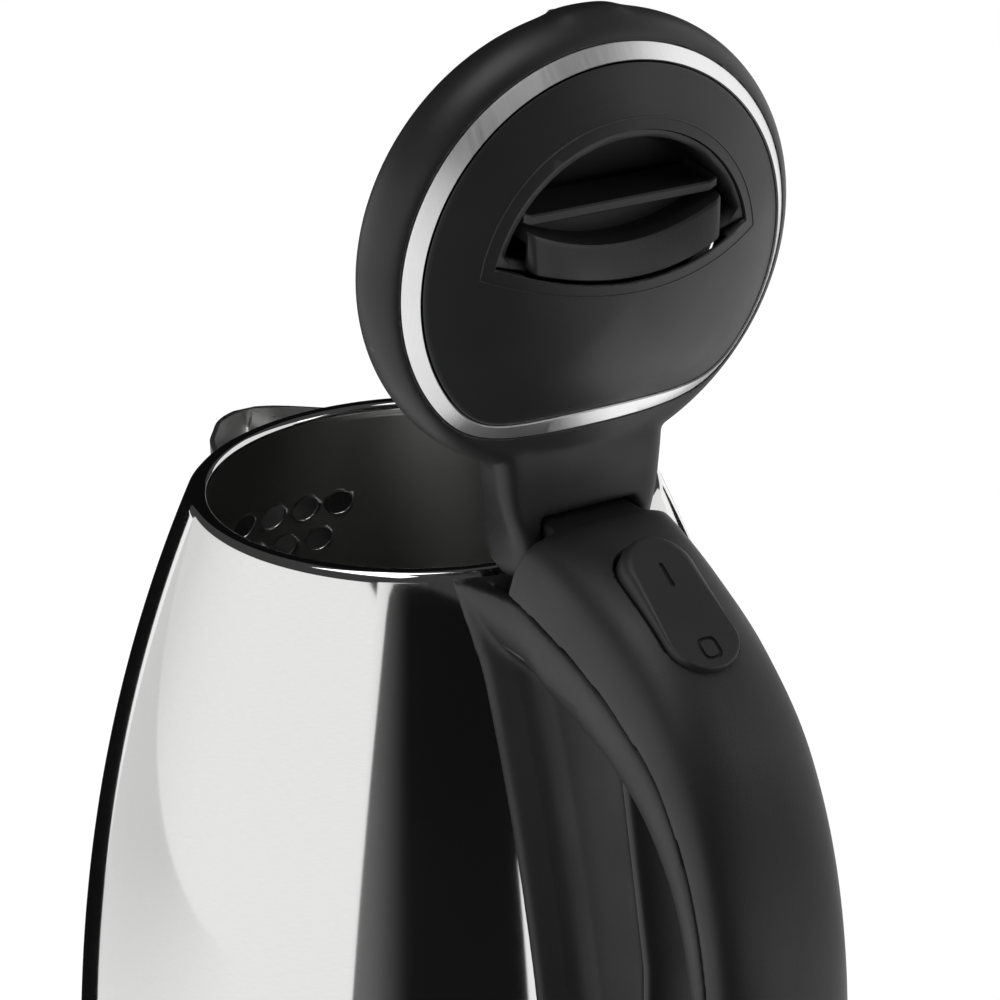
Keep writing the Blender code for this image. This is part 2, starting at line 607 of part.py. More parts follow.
def build_lid(black, brushed, rubber, alloy, spring_steel):
    hinge = make_empty("lid_axis", (HINGE_X, 0, HINGE_Z), LID_OPEN)
    cap = make_object("lid_cap", lid_frame(turned(cap_profile, JUG_SEGMENTS)), black, parent=hinge)
    join(cap, lofted(neck_sections()))
    cut(cap, slab([(-7.6, -20), (20, -20), (20, 20), (-7.6, 20)], -10.0, 10.0))
    cut(cap, rod((0, -20, 0), (0, 20, 0), PIN_R + GAP))
    cut(cap, lid_frame(slab([(-46, -17.0), (-30, -17.0), (-30, -13.7), (-46, -13.7)], -4.4, 4.4)))
    bead_z = RIM_Z - BEAD_DEPTH - LID_PLANE_Z
    groove = arc(MOUTH_R + BEAD_R, bead_z, BEAD_R + 0.4, BEAD_R + 0.4, 0, 330, 11)
    cut(cap, lid_frame(turned(groove, JUG_SEGMENTS)))
    build_ring(brushed, hinge)
    build_plate(black, hinge)
    build_lever(black, hinge, spring_steel)
    make_object("lid_seal", lid_frame(turned(disc(36.6, -19.6, -17.8, 33.4))), rubber, parent=hinge)
    floor_profile = [(0, -21.4), (32.4, -21.4), (33.0, -20.6), (33.0, -18.4), (0, -18.4)]
    floor = make_object("lid_floor", lid_frame(turned(floor_profile)), black, parent=hinge)
    for index, (x, y) in enumerate(LID_SCREWS):
        place = Matrix.Translation((x, y, -21.7)) @ Matrix.Diagonal((1, 1, -1, 1))
        upward = Matrix.Translation((0, 0, -1.8)) @ place
        fastener = lid_frame(moved(screw(13, 3.0, 1.4), upward))
        make_object(f"lid_screw_{index + 1}", fastener, alloy, parent=hinge)
        cut(floor, lid_frame(moved(prism(circle(1.8, 12), -5, 5), place)))


def build_ring(brushed, hinge):
    def ring_profile(angle):
        inner = flat_round(angle, RING_INNER_R, RING_INNER_FLAT)
        outer = flat_round(angle, RING_OUTER_R, RING_OUTER_FLAT)
        return [(inner, 0.0), (inner - 0.4, -0.9), (outer - 0.6, -RING_DROP - 0.8), (outer, -RING_DROP)]
    make_object("lid_ring", lid_frame(turned(ring_profile, JUG_SEGMENTS)), brushed, parent=hinge)


def dome_height(radius, edge):
    return DOME_H * (1 - (radius / edge) ** 2)


def recess_half(shrink):
    """Half the width of the recess at its two corners."""
    return sqrt((RECESS_R - shrink) ** 2 - (RECESS_CORNER + shrink) ** 2)


def recess_side(y, shrink):
    """Distance of the recess's bowed side from the axis."""
    return RECESS_EDGE + shrink + (RECESS_CORNER - RECESS_EDGE) * (y / recess_half(shrink)) ** 2


def recess_outline(shrink, steps=14):
    """The D of the finger recess, from +Y round the far side to -Y, then back along its bowed side."""
    radius, half = RECESS_R - shrink, recess_half(shrink)
    start = acos(-(RECESS_CORNER + shrink) / radius)
    turns = [start + (2 * pi - 2 * start) * step / steps for step in range(steps + 1)]
    far = [(radius * cos(turn), radius * sin(turn)) for turn in turns]
    side = [-half + 2 * half * step / 8 for step in range(1, 8)]
    return far + [(-recess_side(y, shrink), y) for y in side]


def build_plate(black, hinge):
    def plate_profile(angle):
        edge = flat_round(angle, RING_INNER_R, RING_INNER_FLAT) - GAP
        top = [(edge * f, dome_height(edge * f, edge)) for f in (0.0, 0.25, 0.5, 0.7, 0.86, 1.0)]
        under = [(edge - 1.0, -0.9), (edge * 0.8, dome_height(edge * 0.8, edge) - SHELL),
                 (edge * 0.5, DOME_H * 0.75 - SHELL), (0.0, DOME_H - SHELL)]
        return top + under
    plate = make_object("lid_plate", lid_frame(turned(plate_profile, JUG_SEGMENTS)), black, parent=hinge)
    cut(plate, lid_frame(prism(recess_outline(0.0), -10, 20)))
    undercut = []
    for v in LEVER_STATIONS:
        y = v * (LEVER_HALF + 0.8)
        roof = dome_height(hypot(2.5, y), RING_INNER_R - GAP) - 1.0
        mouth = -recess_side(y, 0.6)
        undercut.append([(mouth, y, 2.0), (mouth, y, roof), (3.8, y, roof), (3.8, y, 2.0)])
    cut(plate, lid_frame(lofted(undercut)))
    bowl = prism(recess_outline(GAP), RECESS_FLOOR - 1.6, RECESS_LIP)
    cup = make_object("recess_cup", lid_frame(bowl), black, parent=hinge)
    posts = [moved(prism(circle(3.6, 12), -18.1, RECESS_FLOOR - 1.0), Matrix.Translation((x, y, 0)))
             for x, y in LID_SCREWS]
    join(cup, lid_frame(merged(*posts)))
    cut(cup, lid_frame(prism(recess_outline(CUP_INSET), RECESS_FLOOR, 20)))
    bores = [moved(prism(circle(1.8, 12), -22, RECESS_FLOOR - 1.8), Matrix.Translation((x, y, 0)))
             for x, y in LID_SCREWS]
    cut(cup, lid_frame(merged(*bores)))
    leg_slot = slab([(LEG_X - 2.4, -12), (LEG_X + 5.4, -12), (LEG_X + 5.4, -6), (LEG_X - 2.4, -6)], -4.4, 4.4)
    cut(cup, lid_frame(leg_slot))


def build_lever(black, hinge, spring_steel):
    """The sliding grip in the recess and the bolt that it draws back."""
    sections = []
    for v in LEVER_STATIONS:
        y = LEVER_HALF * v
        near = recess_side(y, 0.0) + 0.8
        root = recess_side(y, CUP_INSET) + LEVER_TRAVEL + 0.4
        lip = 5.8 + 4.6 * (y / 18.6) ** 2
        crest = dome_height(hypot(near, y), RING_INNER_R) - 1.6
        bar = max(11.4, lip + 1.3)
        outline = [(near, 5.1), (near, crest), (lip, 6.4), (lip + 0.6, 6.0), (lip + 0.8, 0.5), (bar, 0.5),
                   (bar, 4.0), (bar + 1.9, 4.0), (bar + 1.9, -5.0), (root, -5.0), (root, 5.1)]
        sections.append([(-u, y, z) for u, z in outline])
    make_object("lid_lever", lid_frame(lofted(sections)), black, parent=hinge)
    back, front = LEG_X + 2, -41.0
    tongue = [(front + 0.8, -16.6), (front, -15.8), (front + 0.8, -14.0), (back, -14.0), (back, -16.6)]
    bolt = make_object("latch_bolt", lid_frame(slab(tongue, -4.0, 4.0)), black, parent=hinge)
    leg = [(LEG_X - 2, -15), (back, -15), (back, -5.3), (LEG_X - 2, -5.3)]
    join(bolt, lid_frame(slab(leg, -4, 4)))
    across = Matrix.Translation((LEG_X + 2.4, 0, -11.4)) @ Matrix.Rotation(radians(90), 4, "Y")
    make_object("lever_spring", lid_frame(moved(coil(2.0, 0.35, 5, 2.4), across)), spring_steel, parent=hinge)


def main():
    clear_scene()
    steel = make_material("polished_steel", (0.62, 0.62, 0.61), 0.12, 1.0)
    brushed = make_material("brushed_steel", (0.66, 0.66, 0.65), 0.32, 1.0)
    black = make_material("black_plastic", (0.012, 0.012, 0.013), 0.48)
    rubber = make_material("grey_rubber", (0.09, 0.09, 0.09), 0.8)
    alloy = make_material("zinc_alloy", (0.5, 0.5, 0.5), 0.4, 1.0)
    spring_steel = make_material("spring_steel", (0.4, 0.4, 0.41), 0.3, 1.0)
    brass = make_material("brass", (0.7, 0.5, 0.22), 0.3, 1.0)
    build_base(black, rubber, alloy, brass)
    build_jug(steel, brushed, black, rubber, alloy)
    build_handle(black, alloy, spring_steel)
    build_lid(black, brushed, rubber, alloy, spring_steel)


main()
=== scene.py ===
"""Looks of the electric kettle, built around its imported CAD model.  Lengths are in millimetres unless noted."""

import json
from math import acos, cos, hypot, pi, radians, sin, sqrt

import bmesh
import bpy
from mathutils import Matrix, Vector


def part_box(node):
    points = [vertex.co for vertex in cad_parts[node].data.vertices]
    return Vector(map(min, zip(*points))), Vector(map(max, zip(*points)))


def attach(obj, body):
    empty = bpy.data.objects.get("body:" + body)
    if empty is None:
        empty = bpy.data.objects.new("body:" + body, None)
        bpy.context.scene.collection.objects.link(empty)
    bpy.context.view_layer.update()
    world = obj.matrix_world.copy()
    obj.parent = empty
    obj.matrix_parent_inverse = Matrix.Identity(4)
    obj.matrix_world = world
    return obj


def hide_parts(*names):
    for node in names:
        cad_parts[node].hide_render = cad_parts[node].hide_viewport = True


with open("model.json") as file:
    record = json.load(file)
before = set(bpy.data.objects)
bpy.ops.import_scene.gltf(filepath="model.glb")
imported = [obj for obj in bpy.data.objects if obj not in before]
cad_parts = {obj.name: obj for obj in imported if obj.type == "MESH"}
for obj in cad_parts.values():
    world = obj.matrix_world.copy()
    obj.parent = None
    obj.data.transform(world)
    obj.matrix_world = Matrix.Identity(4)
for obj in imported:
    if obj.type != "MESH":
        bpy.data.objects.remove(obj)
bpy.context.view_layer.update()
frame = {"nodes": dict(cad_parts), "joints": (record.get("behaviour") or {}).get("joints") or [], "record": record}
JOINTS = {joint["name"]: joint for joint in frame["joints"]}

MM = 0.001
GAP = 0.3

# Jug: rolled bead, wall, strainer as (depth below the rim, holes) in rows, and spout stations as
# (x, half-width, top and lowest height from the rim's plane)
BEAD_R, BEAD_DEPTH, BEAD_RISE, MOUTH_R = 1.9, 1.6, 1.25, 43.0
RIM_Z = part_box("jug_shell")[1].z / MM - BEAD_R + BEAD_DEPTH
STEEL_FOOT_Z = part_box("jug_shell")[0].z / MM
JUG_FOOT_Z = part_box("foot_ring")[0].z / MM
BELLY_R, NECK_R, SWELL_DEPTH, SWELL_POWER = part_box("foot_ring")[1].x / MM, 46.7, 180.0, 2.6
WALL = 0.7
STRAINER = ((27.0, 4), (36.0, 3), (45.0, 2), (53.0, 1))
HOLE_R, HOLE_PITCH, STRAINER_TURN = 3.0, 8.0, 182.5
SPOUT = ((-44, 25, -4.5, -86), (-54, 21, -7.3, -76), (-63, 17.5, -9, -62), (-71, 13, -10.3, -40),
         (-77, 9.3, -11.1, -27), (-80.5, 5.8, -11.4, -21), (-82.3, 2.6, -11.5, -17))
SPOUT_WALL = 1.2

# Camera, from the middle of the mouth
CAMERA_FROM_RIM = (483.96, -264.30, 225.73)
CAMERA_AZIMUTH, CAMERA_ELEVATION, CAMERA_ROLL = 59.803, 22.705, -1.096
LENS = 108.0

# Lid, closed, from the mouth's axis and the plane of the ring; the neck from the hinge, as
# (x, half-width above and below, top, bottom)
HINGE = Vector(JOINTS["lid_hinge"]["pos_m"]) / MM
LID_OPEN = -JOINTS["lid_hinge"]["range_deg"][0]
LID_PLANE_Z = RIM_Z + 13.5
LID_R = 42.65
CAP_ROLL, CAP_ROLL_H, CAP_ROLL_Z = 6.3, 7.6, -9.15
RING_INNER_R, RING_OUTER_R, RING_DROP = 36.2, 38.8, 2.3
RING_INNER_FLAT, RING_OUTER_FLAT, FLAT_POWER = 28.5, 31.8, 14.0
DOME_H, SHELL = 11.4, 2.0
RECESS_R, RECESS_EDGE, RECESS_CORNER, RECESS_FLOOR = 26.0, 0.9, 5.5, -7.0
LEVER_HALF, LEVER_TRAVEL, CUP_INSET = 19.4, 3.0, 1.6
KNUCKLE_R, HINGE_SEAT = 6.1, 4.2
ARM_HALF, HUMP_HALF = 14.4, 9.4
NECK = ((-23.5, 17.6, 17.4, 2.4, -8.6), (-18, 17.3, 17.0, 3.4, -8.3), (-12, 16.8, 16.2, 4.0, -8.0),
        (-8, 16.0, 15.3, 4.8, -8.4), (-5, 15.0, 14.6, 5.4, -9.4), (-1, 13.9, 14.0, 6.0, -10.0),
        (2.5, 13.8, 13.8, 5.6, -9.6), (4.6, 13.7, 13.7, 4.0, -8.2), (5.9, 13.6, 13.6, 1.5, -4.5))

# Rocker
ROCKER_SLOPE, ROCKER_LENGTH, ROCKER_WIDTH, ROCKER_TILT, ROCKER_PIVOT = 27.0, 29.4, 14.2, 6.0, 7.0
ROCKER_AXIS = Vector(JOINTS["rocker_switch"]["pos_m"]) / MM

# Handle: crown, shell seam and finger side in the mirror plane, from the rim's plane; CROWN_LEAN slants
# the crown's first sections
CROWN = ((46, 14.8), (54, 14.8), (62.6, 14.8), (70.5, 15.2), (84, 10.9), (100, 2.2), (114.4, -13), (124.3, -36),
         (128, -65), (125, -98), (110, -128), (90, -146), (60, -157))
SEAM = ((46, 0.0), (54, 1.0), (62.6, 1.4), (70, -0.6), (81, -3.8), (94, -9.6), (107, -19), (117, -38),
        (121.3, -66), (118, -98), (105, -122), (88, -136), (60, -144))
FINGER = ((46, -18.2), (54, -18.4), (62.6, -18.7), (69, -19.6), (78, -21.8), (89, -26), (98.5, -33), (107, -45),
          (112, -68), (109.5, -96), (99, -115), (85, -126), (60, -131))
HALF_WIDTH = (19.0, 18.2, 16.9, 16.4, 15.8, 15.2, 14.7, 14.2, 14.0, 14.0, 14.2, 14.5, 15.0)
ROUNDING = (0.3, 0.36, 0.5, 0.62, 0.68, 0.68, 0.68, 0.68, 0.68, 0.68, 0.68, 0.68, 0.68)
CROWN_START = 2
CROWN_LEAN = (1.0, 0.9, 0.78, 0.64, 0.48, 0.32, 0.18, 0.08)
STATIONS = 9
SPINE_TOP, SPINE_FOOT, SPINE_HALF, SPINE_BACK_HALF = -17.0, -134.0, 17.0, 7.4


# ---------------------------------------------------------------- camera
def build_camera():
    azimuth, elevation, roll = [radians(v) for v in (CAMERA_AZIMUTH, CAMERA_ELEVATION, CAMERA_ROLL)]
    back = Vector((sin(azimuth) * cos(elevation), -cos(azimuth) * cos(elevation), sin(elevation)))
    right = Vector((cos(azimuth), sin(azimuth), 0))
    up = back.cross(right)
    across, above = right * cos(roll) + up * sin(roll), up * cos(roll) - right * sin(roll)
    data = bpy.data.cameras.new("camera")
    data.lens = LENS
    data.sensor_width = 36.0
    camera = bpy.data.objects.new("camera", data)
    camera.matrix_world = Matrix.Translation((Vector(CAMERA_FROM_RIM) + Vector((0, 0, RIM_Z))) * MM) @ Matrix(
        (across, above, back)).transposed().to_4x4()
    bpy.context.scene.collection.objects.link(camera)
    bpy.context.scene.camera = camera


build_camera()


# ---------------------------------------------------------------- node materials
class Shader:
    """A Principled material with a few node shorthands."""

    def __init__(self, name, **values):
        self.material = bpy.data.materials.new(name)
        self.material.use_nodes = True
        self.tree = self.material.node_tree
        self.surface = self.tree.nodes["Principled BSDF"]
        self.set(self.surface, **values)
        self.place = self.node("ShaderNodeTexCoord").outputs["Object"]

    def node(self, kind, **values):
        made = self.tree.nodes.new(kind)
        self.set(made, **values)
        return made

    def set(self, node, **values):
        for key, value in values.items():
            if hasattr(node, key):
                setattr(node, key, value)
            else:
                node.inputs[key.replace("_", " ")].default_value = value

    def link(self, start, end):
        self.tree.links.new(start, end)

    def stretched(self, scale):
        mapping = self.node("ShaderNodeMapping")
        mapping.inputs["Scale"].default_value = scale
        self.link(self.place, mapping.inputs["Vector"])
        return mapping.outputs["Vector"]

    def round_axis(self, around, along):
        """Coordinates (angle, radius, height) about Z, so that a stretched noise runs round the jug."""
        split = self.node("ShaderNodeSeparateXYZ")
        self.link(self.place, split.inputs[0])
        angle = self.node("ShaderNodeMath", operation="ARCTAN2")
        self.link(split.outputs["Y"], angle.inputs[0])
        self.link(split.outputs["X"], angle.inputs[1])
        joined = self.node("ShaderNodeCombineXYZ")
        for socket, source, factor in ((0, angle.outputs[0], around), (2, split.outputs["Z"], along)):
            scaled = self.node("ShaderNodeMath", operation="MULTIPLY")
            self.link(source, scaled.inputs[0])
            scaled.inputs[1].default_value = factor
            self.link(scaled.outputs[0], joined.inputs[socket])
        return joined.outputs[0]

    def noise(self, vector, scale, detail=3.0, roughness=0.5):
        made = self.node("ShaderNodeTexNoise", Scale=scale, Detail=detail, Roughness=roughness)
        self.link(vector, made.inputs["Vector"])
        return made.outputs["Fac"]

    def ramp(self, source, low, high, start=0.0, end=1.0):
        """Maps source from start..end to the two values, numbers or colours."""
        made = self.node("ShaderNodeValToRGB")
        for stop, position, value in zip(made.color_ramp.elements, (start, end), (low, high)):
            stop.position = position
            stop.color = (*value, 1.0) if isinstance(value, tuple) else (value, value, value, 1.0)
        self.link(source, made.inputs["Fac"])
        return made.outputs["Color"]

    def mix(self, factor, one, other, blend="MIX"):
        made = self.node("ShaderNodeMix", data_type="RGBA", blend_type=blend)
        for socket, value in ((made.inputs[0], factor), (made.inputs[6], one), (made.inputs[7], other)):
            if isinstance(value, bpy.types.NodeSocket):
                self.link(value, socket)
            else:
                socket.default_value = value if not isinstance(value, tuple) else (*value, 1.0)
        return made.outputs[2]

    def feed(self, name, source):
        self.link(source, self.surface.inputs[name])

    def bump(self, *layers):
        """Layers of (height source, distance in metres, strength)."""
        normal = None
        for height, distance, strength in layers:
            made = self.node("ShaderNodeBump", Distance=distance, Strength=strength)
            self.link(height, made.inputs["Height"])
            if normal is not None:
                self.link(normal, made.inputs["Normal"])
            normal = made.outputs["Normal"]
        self.feed("Normal", normal)


def plastic(name, dark, light, smooth, rough, grain=0.25):
    """Moulded black plastic: fine spark-eroded grain, a slow change of gloss and rubbed edges."""
    made = Shader(name, Roughness=rough, IOR=1.5)
    drift = made.noise(made.place, 12.0, 2.0)
    worn = made.ramp(made.node("ShaderNodeNewGeometry").outputs["Pointiness"], 0.0, 1.0, 0.53, 0.62)
    base = made.ramp(drift, dark, light, 0.35, 0.7)
    made.feed("Base Color", made.mix(worn, base, tuple(min(1.0, c * 1.9 + 0.006) for c in light)))
    gloss = made.ramp(made.noise(made.place, 60.0, 3.0), smooth, rough, 0.3, 0.7)
    made.feed("Roughness", made.mix(worn, gloss, (smooth - 0.04,) * 3))
    made.bump((made.noise(made.place, 2600.0, 2.0), 0.00006, grain))
    return made.material


def metal(name, dark, light, smooth, rough, streaks, height, strength=0.2):
    """Worked metal: streaks is the vector that the polishing or brushing lines run along."""
    made = Shader(name, Metallic=1.0, Roughness=rough)
    lines = made.noise(streaks(made), 1.0, 5.0, 0.62)
    cloud = made.noise(made.place, 22.0, 3.0)
    lined = made.ramp(lines, dark, light, 0.3, 0.7)
    made.feed("Base Color", made.mix(made.ramp(cloud, 0.35, 0.65), lined, light))
    made.feed("Roughness", made.ramp(made.mix(0.35, lines, cloud), smooth, rough, 0.3, 0.7))
    made.bump((lines, height, strength))
    return made.material


def build_materials():
    return {
        "polished": metal("polished_steel_look", (0.70, 0.70, 0.695), (0.80, 0.80, 0.795), 0.035, 0.085,
                          lambda s: s.round_axis(26.0, 9000.0), 0.000004, 0.1),
        # Satin steel for inward faces: real satin roughness, but its base colour is darkened well below the
        # outside steel as painted shade
        "inside": metal("satin_steel_painted_shade_look", (0.30, 0.30, 0.295), (0.40, 0.40, 0.39), 0.30, 0.42,
                        lambda s: s.round_axis(14.0, 5200.0), 0.00002, 0.25),
        "brushed": metal("brushed_steel_look", (0.66, 0.66, 0.655), (0.82, 0.82, 0.815), 0.24, 0.38,
                         lambda s: s.stretched((90.0, 3600.0, 90.0)), 0.00003, 0.3),
        # A brighter copy of the brushed steel for the lid's trim ring: its raised base colour is painted light
        "ring": metal("ring_steel_painted_light_look", (0.84, 0.84, 0.84), (0.97, 0.97, 0.97), 0.30, 0.42,
                      lambda s: s.stretched((90.0, 4200.0, 90.0)), 0.00003, 0.3),
        # Near-black steel for the spout's inside: painted shade
        "painted_shade_steel": metal("shaded_steel_look", (0.07, 0.07, 0.07), (0.11, 0.11, 0.11), 0.4, 0.55,
                      lambda s: s.stretched((300.0, 300.0, 300.0)), 0.00002, 0.2),
        "beak": metal("spout_steel_look", (0.74, 0.74, 0.735), (0.84, 0.84, 0.835), 0.24, 0.34,
                      lambda s: s.stretched((300.0, 300.0, 2000.0)), 0.000004, 0.1),
        "black": plastic("black_plastic_look", (0.011, 0.011, 0.012), (0.017, 0.017, 0.018), 0.40, 0.50),
        "grip": plastic("grip_plastic_look", (0.012, 0.012, 0.013), (0.019, 0.019, 0.020), 0.42, 0.52, 0.35),
        # A darker copy of the black plastic, laid on the lid recess, the lever's bar and the spine's sides as
        # painted shade
        "dark": plastic("painted_shade_plastic_look", (0.006, 0.006, 0.006), (0.010, 0.010, 0.010), 0.48, 0.58),
        "mark": plastic("mark_paint_look", (0.002, 0.002, 0.002), (0.004, 0.004, 0.004), 0.6, 0.7),
        "rubber": plastic("rubber_look", (0.05, 0.05, 0.05), (0.085, 0.085, 0.085), 0.7, 0.85, 0.5),
        "alloy": metal("alloy_look", (0.42, 0.42, 0.43), (0.58, 0.58, 0.58), 0.32, 0.5,
                       lambda s: s.stretched((700.0, 700.0, 700.0)), 0.00003, 0.3),
        "spring": metal("spring_look", (0.3, 0.3, 0.31), (0.46, 0.46, 0.47), 0.22, 0.36,
                        lambda s: s.stretched((900.0, 900.0, 900.0)), 0.00002, 0.3),
        "brass": metal("brass_look", (0.58, 0.38, 0.14), (0.78, 0.56, 0.26), 0.24, 0.4,
                       lambda s: s.stretched((600.0, 600.0, 900.0)), 0.00002, 0.3),
    }


PAINT = build_materials()
SLOT_PAINT = {"polished_steel": "polished", "brushed_steel": "brushed", "black_plastic": "black",
              "grey_rubber": "rubber", "zinc_alloy": "alloy", "spring_steel": "spring", "brass": "brass"}


# ---------------------------------------------------------------- shapes, as (points, faces)
def turned(profile, segments=160):
    """A closed outline of (radius, height), or a function of the angle that gives one, turned about Z."""
    at_angle = profile if callable(profile) else (lambda angle: profile)
    count = len(at_angle(0.0))
    points, faces = [], []
    for step in range(segments):
        angle = 2 * pi * step / segments
        points += [(r * cos(angle), r * sin(angle), z) for r, z in at_angle(angle)]
    for step in range(segments):
        here, there = step * count, (step + 1) % segments * count
        for index in range(count):
            after = (index + 1) % count
            if hypot(*points[here + index][:2]) > 1e-9 or hypot(*points[here + after][:2]) > 1e-9:
                faces.append((here + index, there + index, there + after, here + after))
    return points, faces


def lofted(sections):
    """Closed sections joined in order, with flat ends."""
    count = len(sections[0])
    points = [tuple(point) for section in sections for point in section]
    faces = []
    for span in range(len(sections) - 1):
        for index in range(count):
            after = (index + 1) % count
            here, there = span * count, (span + 1) * count
            faces.append((here + index, here + after, there + after, there + index))
    faces += [tuple(range(count)), tuple(range((len(sections) - 1) * count, len(sections) * count))]
    return points, faces


def prism(outline, low, high):
    return lofted([[(x, y, low) for x, y in outline], [(x, y, high) for x, y in outline]])


def slab(outline, side, other_side):
    return lofted([[(x, side, z) for x, z in outline], [(x, other_side, z) for x, z in outline]])


def moved(shape, matrix):
    return [tuple(matrix @ Vector(point)) for point in shape[0]], shape[1]


def merged(*shapes):
    points, faces = [], []
    for more_points, more_faces in shapes:
        base = len(points)
        points += more_points
        faces += [[base + corner for corner in face] for face in more_faces]
    return points, faces


def arc(centre_r, centre_z, radius_r, radius_z, start, end, steps):
    angles = [radians(start + (end - start) * step / steps) for step in range(steps + 1)]
    return [(centre_r + radius_r * cos(angle), centre_z + radius_z * sin(angle)) for angle in angles]


def circle(radius, steps=48):
    return [(radius * cos(2 * pi * k / steps), radius * sin(2 * pi * k / steps)) for k in range(steps)]


def stadium(length, width, steps=20):
    run, half, ends = (length - width) / 2, width / 2, []
    for centre, start in ((run, -90), (-run, 90)):
        angles = [radians(start + 180 * step / steps) for step in range(steps + 1)]
        ends += [(centre + half * cos(angle), half * sin(angle)) for angle in angles]
    return ends


def rod(start, end, radius, steps=32):
    start, end = Vector(start), Vector(end)
    turn = (end - start).to_track_quat("Z", "Y").to_matrix().to_4x4()
    return moved(prism(circle(radius, steps), 0.0, (end - start).length), Matrix.Translation(start) @ turn)


def tube(line, radius, steps=10):
    """A round bar along a closed line of points."""
    sections, count = [], len(line)
    for index, point in enumerate(line):
        along = (line[(index + 1) % count] - line[index - 1]).normalized()
        side = along.cross(Vector((0, 0, 1))).normalized()
        above = side.cross(along)
        angles = [2 * pi * step / steps for step in range(steps)]
        sections.append([point + radius * (cos(a) * side + sin(a) * above) for a in angles])
    points, faces = lofted(sections + sections[:1])
    return points, faces[:-2]


def smooth_rows(knots, steps):
    """A Catmull-Rom interpolation of rows of numbers."""
    rows = []
    for span in range(len(knots) - 1):
        window = [knots[max(0, min(len(knots) - 1, span + shift))] for shift in (-1, 0, 1, 2)]
        for step in range(steps):
            t = step / steps
            rows.append([0.5 * (2 * b + (c - a) * t + (2 * a - 5 * b + 4 * c - d) * t * t
                                + (3 * b - a - 3 * c + d) * t ** 3) for a, b, c, d in zip(*window)])
    return rows + [list(knots[-1])]


# ---------------------------------------------------------------- pieces
def piece(name, shape, paint, body, replaces=(), sharp=40):
    points, faces = shape
    mesh = bpy.data.meshes.new(name)
    mesh.from_pydata([Vector(point) * MM for point in points], [], faces)
    cage = bmesh.new()
    cage.from_mesh(mesh)
    bmesh.ops.remove_doubles(cage, verts=cage.verts, dist=1e-7)
    bmesh.ops.recalc_face_normals(cage, faces=cage.faces)
    cage.to_mesh(mesh)
    cage.free()
    mesh.shade_smooth()
    mesh.set_sharp_from_angle(angle=radians(sharp))
    mesh.materials.append(PAINT[paint])
    made = bpy.data.objects.new(name, mesh)
    bpy.context.scene.collection.objects.link(made)
    if body:
        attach(made, body)
    if replaces:
        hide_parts(*replaces)
    return made


def carve(target, shape, operation="DIFFERENCE"):
    """Applies a Boolean with a shape in millimetres at once."""
    cutter = piece("cutter", shape, "black", None)
    change = target.modifiers.new("carve", "BOOLEAN")
    change.operation = operation
    change.solver = "EXACT"
    change.object = cutter
    settle(target)
    bpy.data.objects.remove(cutter)


def settle(target):
    """Turns the modifiers into plain geometry."""
    graph = bpy.context.evaluated_depsgraph_get()
    made = bpy.data.meshes.new_from_object(target.evaluated_get(graph))
    old = target.data
    target.modifiers.clear()
    target.data = made
    made.name = target.name
    bpy.data.meshes.remove(old)


def soften(target, voxel, rounds):
    """Melts the edges and inner corners of a moulded piece, as its mould's radii would."""
    melt = target.modifiers.new("melt", "REMESH")
    melt.mode = "VOXEL"
    melt.voxel_size = voxel * MM
    melt.use_smooth_shade = True
    relax = target.modifiers.new("relax", "SMOOTH")
    relax.factor = 0.5
    relax.iterations = rounds
    settle(target)
    target.data.shade_smooth()


def round_edges(target, width, angle):
    edge = target.modifiers.new("edges", "BEVEL")
    edge.width = width * MM
    edge.segments = 3
    edge.limit_method = "ANGLE"
    edge.angle_limit = radians(angle)
    edge.harden_normals = True
    settle(target)


# ---------------------------------------------------------------- jug
def wall_r(depth, inset=0.0):
    """The jug's outer radius at a depth below the rim."""
    left = max(0.0, 1 - max(0.0, depth) / SWELL_DEPTH)
    return BELLY_R - (BELLY_R - NECK_R) * left ** SWELL_POWER - inset


def jug_space(inset, top=30.0):
    """The solid of the jug's outline, drawn in by inset and carried up above the rim."""
    depths = [190 * (step / 60) ** 1.4 for step in range(61)]
    side = [(wall_r(depth, inset), RIM_Z - depth) for depth in depths]
    return turned([(0, RIM_Z + top), (side[0][0], RIM_Z + top)] + side + [(0, side[-1][1])], 128)


def build_jug():
    bottom = RIM_Z - STEEL_FOOT_Z
    depths = [1.0 + (bottom - 1.0) * (step / 90) ** 1.3 for step in range(91)]
    bead = arc(MOUTH_R + BEAD_R, RIM_Z - BEAD_DEPTH + BEAD_R - BEAD_RISE, BEAD_R, BEAD_RISE, 210, 34, 26)
    outside = [(wall_r(depth), RIM_Z - depth) for depth in depths]
    inside = [(wall_r(depth, WALL), RIM_Z - depth) for depth in depths if depth > 3.1]
    profile = bead + outside + inside[::-1]
    shell = piece("jug_steel", turned(profile, 256), "polished", "jug", ["jug_shell"], 50)
    # Inward faces below the bead take the satin steel whose darker base colour is painted shade
    shell.data.materials.append(PAINT["inside"])
    for face in shell.data.polygons:
        middle = face.center / MM
        facing_in = face.normal.x * middle.x + face.normal.y * middle.y < 0
        if facing_in and RIM_Z - middle.z > 3.2:
            face.material_index = 1
    drills = []
    for depth, count in STRAINER:
        for index in range(count):
            angle = radians(STRAINER_TURN + (index - (count - 1) / 2) * HOLE_PITCH)
            out = Vector((cos(angle), sin(angle), 0.0))
            middle = out * wall_r(depth, WALL / 2) + Vector((0, 0, RIM_Z - depth))
            drills.append(rod(middle - out * 6, middle + out * 6, HOLE_R, 40))
    carve(shell, merged(*drills))
    build_spout()
    foot_r = wall_r(bottom)
    foot = [(foot_r - 4, JUG_FOOT_Z)] + arc(foot_r - 2.2, JUG_FOOT_Z + 2.2, 2.2, 2.2, -90, 0, 8)
    foot += [(foot_r, STEEL_FOOT_Z - 1.2), (foot_r - 0.5, STEEL_FOOT_Z - 0.3), (foot_r - 4, STEEL_FOOT_Z - 0.3)]
    piece("jug_foot", turned(foot, 192), "black", "jug", ["foot_ring"])


